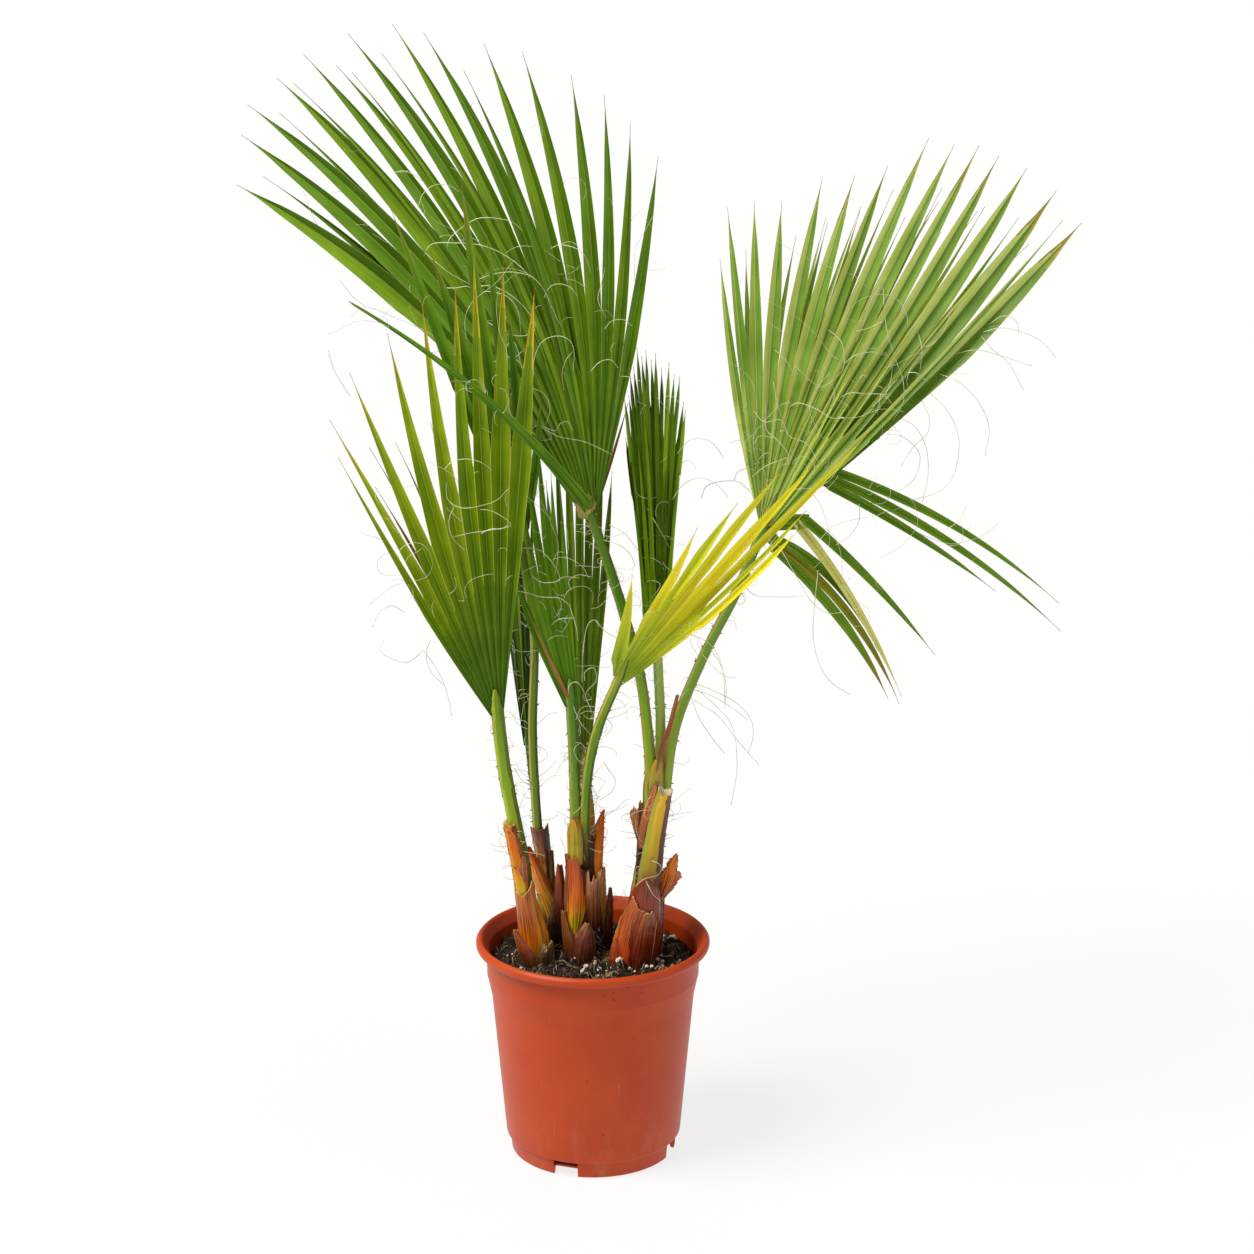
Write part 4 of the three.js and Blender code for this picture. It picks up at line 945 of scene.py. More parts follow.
def lumps(rng, places, sizes, flatness, tilt, rough, look=0):
    # Small rough blocks: a box of eight corners and six pushed-out face centres, each corner jittered.
    count = len(places)
    corners = np.array([(x, y, z) for z in (-1, 1) for y in (-1, 1) for x in (-1, 1)], float) * 0.62
    poles = np.array([(0, 0, -1), (0, 0, 1), (0, -1, 0), (0, 1, 0), (-1, 0, 0), (1, 0, 0)], float)
    base = np.vstack([corners, poles])
    sides = [(0, 1, 3, 2), (4, 6, 7, 5), (0, 4, 5, 1), (2, 3, 7, 6), (0, 2, 6, 4), (1, 5, 7, 3)]
    faces = [
        (side[i], side[(i + 1) % 4], len(corners) + pole, triangle)
        for pole, side in enumerate(sides) for i in range(4)
    ]
    shapes = base * (1 + rng.uniform(-rough, rough, (count, len(base), 1))) * np.asarray(flatness)[:, None]
    points = np.einsum("nij,nkj->nki", turnsOf(rng, count, tilt), shapes * sizes[:, None, None])
    points = points + np.asarray(places)[:, None]
    looks = np.repeat(np.broadcast_to(look, count), len(faces))
    return part(points, copied(np.array(faces), count, len(base)), looks)


def grainyLook(name, light, dark, grain, rough, bump):
    # Crumbly matter: noise at the size of its grains, in two tints, with the same noise as relief.
    material = newMaterial(name)
    at = {"Vector": addNode(material, "TexCoord").outputs["Object"]}
    values = {"Scale": 1 / (grain * mm), "Detail": 5.0, "Roughness": 0.7}
    noise = addNode(material, "TexNoise", None, values, at)
    colour = addNode(material, "ValToRGB", links={"Fac": noise}, stops={0.32: dark, 0.68: light})
    values = {"Roughness": rough, "IOR": 1.4}
    return finishMaterial(material, values, {"Base Color": colour}, (bump, 1.0, noise))


def onSoil(x, y, lift):
    # Points on the crumbs, lifted off them by so much.
    return np.stack([x, y, soilHeight(x, y) + lift], axis=-1)


def makePeat():
    # Rings of the crumbly top from the middle out to the pot's wall, then down and in to a flat bottom.
    radius = np.linspace(0, soilShape["radius"], soilShape["rings"])
    turn = 2 * np.pi * np.arange(soilShape["spokes"]) / soilShape["spokes"]
    top = onSoil(radius[:, None] * np.cos(turn), radius[:, None] * np.sin(turn), 0)
    bottom = top[::-1] * (0.985, 0.985, 0) + (0, 0, soilShape["level"] - soilShape["depth"])
    points = np.concatenate([top, bottom[[0, -1]]])
    body = part(points, ringFaces(len(points), len(turn)))
    peat = grainyLook("dampPeat", "#34281d", "#0c0906", 3.5, 0.92, 0.9)
    makePiece("pottingSoil", [body], [peat], ["soil"], merged=True)


def makeChips():
    # Flat chips of peat and bark, tipped this way and that on the crumbs.
    rng = np.random.default_rng(litter["seed"])
    x, y = scattered(rng, litter["chips"])
    length = rng.uniform(*litter["length"], len(x))
    width = rng.uniform(*litter["width"], len(x))
    flat = np.stack([np.ones_like(x), width, rng.uniform(*litter["thickness"], len(x))], axis=-1)
    looks = [
        grainyLook("peatChip", "#5a4838", "#1c140e", 4, 0.9, 0.6),
        grainyLook("barkChip", "#8a6646", "#46301f", 5, 0.85, 0.6),
        grainyLook("paleBark", "#b08c64", "#6c5238", 5, 0.85, 0.5),
    ]
    kind = rng.choice(len(looks), len(x), p=litter["shares"])
    chips = lumps(rng, onSoil(x, y, 0.4), length / 2, flat, litter["tilt"], 0.3, kind)
    makePiece("soilChips", [chips], looks, smooth=False)


def makePerlite():
    # Larger grains spread about each group's middle, and loose small ones all over.
    rng = np.random.default_rng(perlite["seed"])
    spots = [rng.normal((gx, gy), spread / 3, (n, 2)) for gx, gy, spread, n in perlite["groups"]]
    x, y = np.hstack([np.vstack(spots).T, scattered(rng, perlite["loose"])])
    keep = np.hypot(x, y) < litterReach
    x, y = x[keep], y[keep]
    sizes = rng.uniform(*perlite["size"], len(x))
    grouped = np.arange(len(x)) < sum(group[3] for group in perlite["groups"])
    sizes[grouped] = rng.uniform(*perlite["large"], grouped.sum())
    grains = lumps(rng, onSoil(x, y, 1.8), sizes, np.ones((len(x), 3)), 90, 0.25)
    look = grainyLook("expandedPerlite", "#f8f1e0", "#c8b898", 1.2, 0.95, 0.8)
    makePiece("perliteGrains", [grains], [look], smooth=False)


def makeSoilFibres():
    # Root fibres: each bends steadily as it goes, lies on the crumbs and humps up a little between its ends.
    rng = np.random.default_rng(fibres["seed"])
    x, y = scattered(rng, fibres["count"], fibres["starts"])
    heading = rng.uniform(0, 2 * np.pi, fibres["count"])
    length = rng.uniform(*fibres["length"], fibres["count"])
    t = np.linspace(0, 1, fibres["steps"])
    bend = heading[:, None] + rng.uniform(-fibres["bend"], fibres["bend"], (len(x), 1)) * t
    step = length[:, None] / len(t)
    x = x[:, None] + np.cumsum(np.cos(bend) * step, axis=1)
    y = y[:, None] + np.cumsum(np.sin(bend) * step, axis=1)
    inward = np.minimum(1, fibres["reach"] / np.maximum(np.hypot(x, y), 1))
    hump = rng.uniform(0, fibres["hump"], (len(x), 1)) * np.sin(np.pi * t)
    paths = onSoil(x * inward, y * inward, 0.7 + hump)
    looks = [
        grainyLook("darkRootFibre", "#4e3a2a", "#2a1c12", 6, 0.85, 0.2),
        grainyLook("dryRootFibre", "#e6d2aa", "#a88c60", 6, 0.8, 0.2),
    ]
    thick = fibres["radius"] * np.linspace(1, 0.5, len(t))
    dark = len(x) * 2 // 3
    parts = [tubes(paths[:dark], thick, 3, 0), tubes(paths[dark:], thick, 3, 1)]
    makePiece("soilFibres", parts, looks)


makePeat()
makeChips()
makePerlite()
makeSoilFibres()
print("soil: peat, chips, perlite and fibres")


# Stems, petioles and cut stalks: one tapering limb each, through the source's stations

limbDetail = {"steps": 100, "sides": 36, "sideFrom": 0.5, "marginFrom": 0.965, "costa": 22}
# A station is x, y, z, half width and half depth. Body, left and right are the colours from foot to top, and
# margin is that of the two edges. Left and right paint light and shade on the two sides over their own tints:
# mostly painted light on the left side and painted shade on the right. A cut stalk's pith is sunk by hollow,
# its rim stands up by horns at the two sides and by tipped at the back, and cut is the colour of the cut.
stems = {
    "stem_left": {
        "stations": [(-62, 1, 201, 14, 13), (-64, 1, 235, 12, 11), (-67, 2, 268, 9.5, 8.5)],
        "body": {0: "#4a2c1a", 0.6: "#8a6a2a", 1: "#7f8a30"},
    },
    "stem_left_mid": {
        "stations": [(-45, 34, 201, 12, 13), (-48, 36, 245, 10, 12), (-51, 37, 290, 8, 11)],
        "body": {0: "#3a2416", 0.4: "#6a4424", 0.62: "#a08a34", 0.8: "#8a6a30", 1: "#6a3c2c"},
        "right": {0: "#2e1c14", 0.6: "#5e4030", 1: "#553029"},
    },
    "stem_middle": {
        "stations": [(-14, 22, 201, 15, 20), (-14, 20, 250, 13, 20), (-13, 19, 300, 12, 20)],
        "body": {0: "#2e1a12", 0.5: "#54301e", 1: "#4a2c1e"},
    },
    "stem_right": {
        "stations": [(48, 9, 201, 24, 21), (53, 8, 262, 17, 16), (60, 8, 325, 13, 14), (67, 8, 385, 12, 13)],
        "body": {0: "#4a2018", 0.3: "#5e3428", 0.45: "#8a7232", 0.7: "#9a9a3a", 1: "#7f9a3c"},
        "left": {0: "#6a3a20", 0.4: "#a89430", 0.7: "#8f9a34", 1: "#7a9a3a"},
        "right": {0: "#34161a", 0.45: "#4a2a28", 0.8: "#6a5a34", 1: "#6f9a34"},
    },
}
petioles = {
    "petiole_front_left": {
        "stations": [
            (-67, 2, 264, 8, 5.5), (-72, 0, 315, 7.5, 5), (-82, -10, 376, 7, 4.6), (-89, -19, 425, 6.8, 4.2),
            (-94, -30, 484, 6.5, 3.6),
        ],
        "body": {0: "#7b7a1c", 0.25: "#9bac1f", 0.7: "#80a122", 1: "#6e8a19"},
        "left": {0: "#9f9a25", 0.5: "#a9b835", 1: "#98a92b"}, "right": {0: "#5c5a14", 1: "#627a13"},
        "margin": "#846627",
    },
    "petiole_back_left": {
        "stations": [
            (-51, 32, 286, 6, 4.5), (-57, 31, 340, 5, 4), (-61, 27, 440, 4.6, 3.6), (-58, 18, 541, 4.4, 3.2),
            (-65, 8, 610, 4.2, 3), (-69, 5, 656, 4, 2.6),
        ],
        "body": {0: "#798b24", 0.5: "#6e8b2a", 1: "#808b3b"},
        "left": {0: "#a0a242", 1: "#b0af60"}, "right": {0: "#514526", 0.4: "#50611b", 1: "#657324"},
        "margin": "#593a23",
    },
    "petiole_narrow_left": {
        "stations": [(-50, 43, 286, 4, 3), (-58, 45, 345, 3.4, 2.8), (-67, 46, 428, 3, 2.4)],
        "body": {0: "#4a4420", 1: "#3f6414"}, "margin": "#5a4a26",
    },
    "petiole_middle": {
        "stations": [
            (-17, 17, 296, 7, 4.5), (-17, 14, 350, 6.5, 4.2), (-18, 5, 410, 6, 4), (-21, -12, 490, 5.5, 3.2),
        ],
        "body": {0: "#909c27", 0.5: "#70952c", 1: "#538024"},
        "left": {0: "#a1a539", 1: "#85a243"}, "right": {0: "#627a1c", 1: "#426b17"},
        "margin": "#6f4e1e",
    },
    "petiole_middle_back": {
        "stations": [(-7, 33, 296, 5.5, 4), (-3, 38, 345, 5, 3.6), (-9, 46, 398, 4.4, 3)],
        "body": {0: "#712414", 0.45: "#ab7b20", 1: "#8a8923"}, "left": {0: "#5d1b0e", 1: "#756d1d"},
        "margin": "#97411c",
    },
    "petiole_yellow": {
        "stations": [
            (-8, 15, 300, 5, 4), (-8, 11, 350, 5, 4), (-4, -7, 411, 5, 3.8), (7, -30, 466, 5, 3.6),
            (29, -49, 526, 4.6, 3.2),
        ],
        "body": {
            0: "#4a2c16", 0.12: "#7a5a20", 0.24: "#8a9a2c", 0.35: "#6b9422", 0.75: "#6c8c1e",
            1: "#8aa030",
        },
        "left": {0: "#5a3a1a", 0.2: "#9aa03a", 0.6: "#a8a840", 1: "#b0a238"},
        "right": {0: "#3a2010", 0.22: "#46681a", 1: "#4c6a16"}, "margin": "#8a6a30",
    },
    "petiole_top_left": {
        "stations": [
            (60, 2, 381, 6, 4.2), (57, 0, 437, 5.6, 4), (49, -9, 507, 5.2, 3.8), (33, -17, 575, 5, 3.5),
            (17, -20, 628, 5, 3.2), (-3, -20, 688, 4.6, 2.8),
        ],
        "body": {0: "#8ea026", 0.3: "#799a1d", 0.7: "#477417", 1: "#547a1a"},
        "left": {0: "#acb034", 0.6: "#678a23", 1: "#5f8228"}, "right": {0: "#778a1c", 1: "#3a6010"},
        "margin": "#9f4214",
    },
    "petiole_spear": {
        "stations": [(67, 17, 381, 5.5, 4), (69, 17, 450, 5, 3.8), (65, 18, 540, 4.6, 3.2)],
        "body": {0: "#8faa39", 0.6: "#9daf53", 1: "#93a84b"}, "left": {0: "#7a962a", 1: "#7e963d"},
        "margin": "#7a8739",
    },
    "petiole_right": {
        "stations": [
            (73, 4, 381, 5.6, 4.2), (83, 10, 450, 5.4, 4), (110, 24, 518, 5.2, 3.8), (148, 40, 592, 5, 3.6),
            (177, 51, 664, 4.6, 3),
        ],
        "body": {0: "#9baf3c", 0.35: "#6f9630", 1: "#63863a"},
        "left": {0: "#a06f30", 0.35: "#9b9d4a", 1: "#93a158"},
        "right": {0: "#8ea734", 1: "#476920"}, "margin": "#ae5d2c",
    },
}
stubs = {
    "stub_left": {
        "stations": [
            (-66, -12, 256, 7, 5), (-72, -12, 292, 7.2, 5.2), (-77, -12, 322, 7.2, 5),
            (-80.5, -12, 340, 6.8, 5), (-84.5, -12, 355, 6, 5),
        ],
        "body": {0: "#9e9f24", 0.3: "#c3aa2c", 0.5: "#d48021", 0.8: "#cb6621", 1: "#c3742c"},
        "left": {0: "#ba9922", 0.45: "#de9b2c", 0.8: "#d87e2c", 1: "#d88d3c"},
        "right": {0: "#998f1f", 0.4: "#b15f1f", 1: "#873e1c"},
        "margin": "#8a4a22", "hollow": 7, "horns": 0.6, "tipped": 6.5, "cut": "#e8bc80",
    },
    "stub_middle": {
        "stations": [
            (9, 22, 236, 6.5, 6), (7, 21, 268, 6, 6), (4.5, 20, 296, 5.6, 5), (5, 22, 320, 5.8, 4.5),
            (6.5, 23, 338, 5.2, 3.2), (9, 24, 351, 2.6, 1.8), (11.5, 24, 359, 0.9, 0.8),
        ],
        "body": {0: "#7a380d", 0.25: "#b07717", 0.55: "#d27717", 0.8: "#cf640e", 1: "#c05616"},
        "left": {0: "#5a2c18", 0.5: "#8a4a20", 1: "#9a5a30"}, "margin": "#c08a50", "hollow": 1,
        "cut": "#b5703a",
    },
    "stub_right": {
        "stations": [
            (52, -13, 254, 12, 8), (57, -13, 299, 11.6, 8), (60, -13, 319, 11.2, 8), (64, -13, 347, 10, 8),
            (69, -13, 375, 9, 7.5), (73, -13, 391, 7.6, 6.8),
        ],
        "body": {0: "#5d3524", 0.3: "#784a32", 0.42: "#9f822b", 0.6: "#ba9c2b", 1: "#dfaf39"},
        "left": {0: "#6a3c28", 0.3: "#8f7a34", 0.6: "#9aa034", 1: "#a89a3c"},
        "right": {0: "#3c2420", 0.4: "#5e4036", 0.8: "#6e4a3c", 1: "#94643c"},
        "margin": "#7a4a2c", "hollow": 9, "horns": 4.5, "tipped": 5, "cut": "#f4e4bc",
    },
}
limbSlots = {"left": 1, "right": 2, "margin": 3, "cut": 4}


def limbRings(limb, seed, power=2.2, ribs=0.12):
    # Rings on the spline, the width across the view: width |cos|^(2/power) by depth |sin|^(2/power), with
    # fibre ridges of sine waves round the ring that drift along the limb. The seam is at the back. The
    # defaults are for what rides on a limb, such as its hairs.
    path = smoothPath(limb["stations"], limbDetail["steps"])
    centre, width, depth = path[:, :3], path[:, 3:4], path[:, 4:5]
    along = unit(np.gradient(centre, axis=0))
    across = unit(np.cross(along, (0.0, -1.0, 0.0)))
    front = np.cross(across, along)
    turn = np.pi / 2 + 2 * np.pi * np.linspace(0, 1, limbDetail["sides"] + 1)
    cos, sin = np.cos(turn), np.sin(turn)
    rng = np.random.default_rng(seed)
    drift = ripple(len(path), seed)[:, None]
    ridges = sum(
        ribs * 0.8**i * np.sin(n * turn + 2 * drift + rng.uniform(0, 6)) for i, n in enumerate((7, 11, 17))
    )
    swell = 1 + 0.03 * ripple(len(path), seed + 50, (2, 5, 9))[:, None]
    sideways = (width * swell * np.sign(cos) * np.abs(cos) ** (2 / power) + ridges * cos)[..., None]
    deep = (depth * swell * np.sign(sin) * np.abs(sin) ** (2 / power) + ridges * sin)[..., None]
    rings = centre[:, None] + across[:, None] * sideways - front[:, None] * deep
    return rings, centre, along, across, width, turn


def limbPart(limb, seed, power, ribs, sink):
    rings, centre, along, _, width, turn = limbRings(limb, seed, power, ribs)
    hollow = limb.get("hollow", sink)
    # Caps: smaller and smaller rings; a cut stalk's top is a ragged rim round a sunken pith, and a
    # petiole's tapers out along the leaf as its costa.
    ragged = (hollow > 0) * ripple(len(turn), seed + 70, (2, 5, 9))
    ragged[-1] = ragged[0]
    tipped = limb.get("tipped", 0) * np.sin(turn) + limb.get("horns", 0) * np.cos(2 * turn)
    rings[-1] += along[-1] * (ragged * 1.2 + tipped)[:, None]
    caps = [(0.8, 0.15), (0.6, 0.6), (0.3, 0.95), (0, 1)]
    tip, rim = centre[-1], rings[-1]
    top = [tip + (rim - tip) * scale - along[-1] * (hollow * fall) for scale, fall in caps]
    grid = np.concatenate([centre[:1, None] + 0 * rings[:1], rings, np.array(top)])
    index = np.arange(grid.shape[0] * grid.shape[1]).reshape(grid.shape[:2])
    faces = quads(index[:-1, :-1], index[:-1, 1:], index[1:, 1:], index[1:, :-1])
    side = np.cos((turn[1:] + turn[:-1]) / 2)
    look = np.zeros((len(grid) - 1, len(turn) - 1), int)
    boundary = limbDetail["sideFrom"] + 0.12 * ripple(len(grid) - 1, seed + 3, (2, 4, 9))[:, None]
    if "left" in limb:
        look[side < -boundary] = limbSlots["left"]
    if "right" in limb:
        look[side > boundary] = limbSlots["right"]
    look[:, np.abs(side) > limbDetail["marginFrom"]] = limbSlots["margin"]
    if hollow > 0:
        look[-len(caps):] = limbSlots["cut"]
    steps = np.linalg.norm(np.diff(grid.mean(axis=1), axis=0), axis=1)
    length = np.concatenate([[0], np.cumsum(steps)])
    uv = np.stack(np.broadcast_arrays(turn * width.mean(), length[:, None]), axis=-1) * mm
    return part(grid, faces, look.ravel(), uv)


def limbLooks(name, limb, rough):
    # The slots of a limb: body, left, right, margin and cut. Its fibres are about a millimetre apart.
    low, high = limb["stations"][0][2], limb["stations"][-1][2]
    looks = []
    # Left and right: painted light on the lit side of the limb and painted shade on the side away from the
    # light.
    for side in ("body", "left", "right"):
        stops = limb.get(side, limb["body"])
        looks.append(gradedLook(name + side.capitalize(), low, high, stops, rough, (1.1, 90), 0.12, 0.15))
    margin = limb.get("margin", "#4a2c1a")
    looks.append(streakyLook(name + "Margin", margin, darker(margin, 0.75), (1.0, 12), 0.6, 0.2))
    cut = limb.get("cut", margin)
    looks.append(streakyLook(name + "Cut", cut, darker(cut, 0.72), (1.5, 4), 0.8, 0.5))
    return looks


def makeLimbs():
    # Returns the rings' points, for the threads that cross the petioles. Each kind of limb has its slot
    # name, roughness, squareness, ridges and how far its top sinks, or rises where that is negative.
    surfaces = []
    kinds = (
        (stems, "stem", 0.55, 2.0, 0.3, 0), (petioles, "petiole", 0.38, 1.9, 0.1, -limbDetail["costa"]),
        (stubs, "petiole", 0.5, 2.0, 0.22, 0),
    )
    for limbs, slot, rough, power, ribs, sink in kinds:
        for seed, (node, limb) in enumerate(limbs.items()):
            name = pieceName(node)
            shape = limbPart(limb, seed, power, ribs, sink)
            makePiece(name, [shape], limbLooks(name, limb, rough), [node], merged=True)
            surfaces.append(limbRings(limb, seed)[0].reshape(-1, 3))
    return np.concatenate(surfaces)


limbSurface = makeLimbs()
print("stems, petioles and stubs")


# Sheaths and torn leaf bases, by the source's rule on a finer grid

sheathDetail = {"rows": 60, "columns": 44, "rimFrom": 0.92, "rimTop": 0.97}
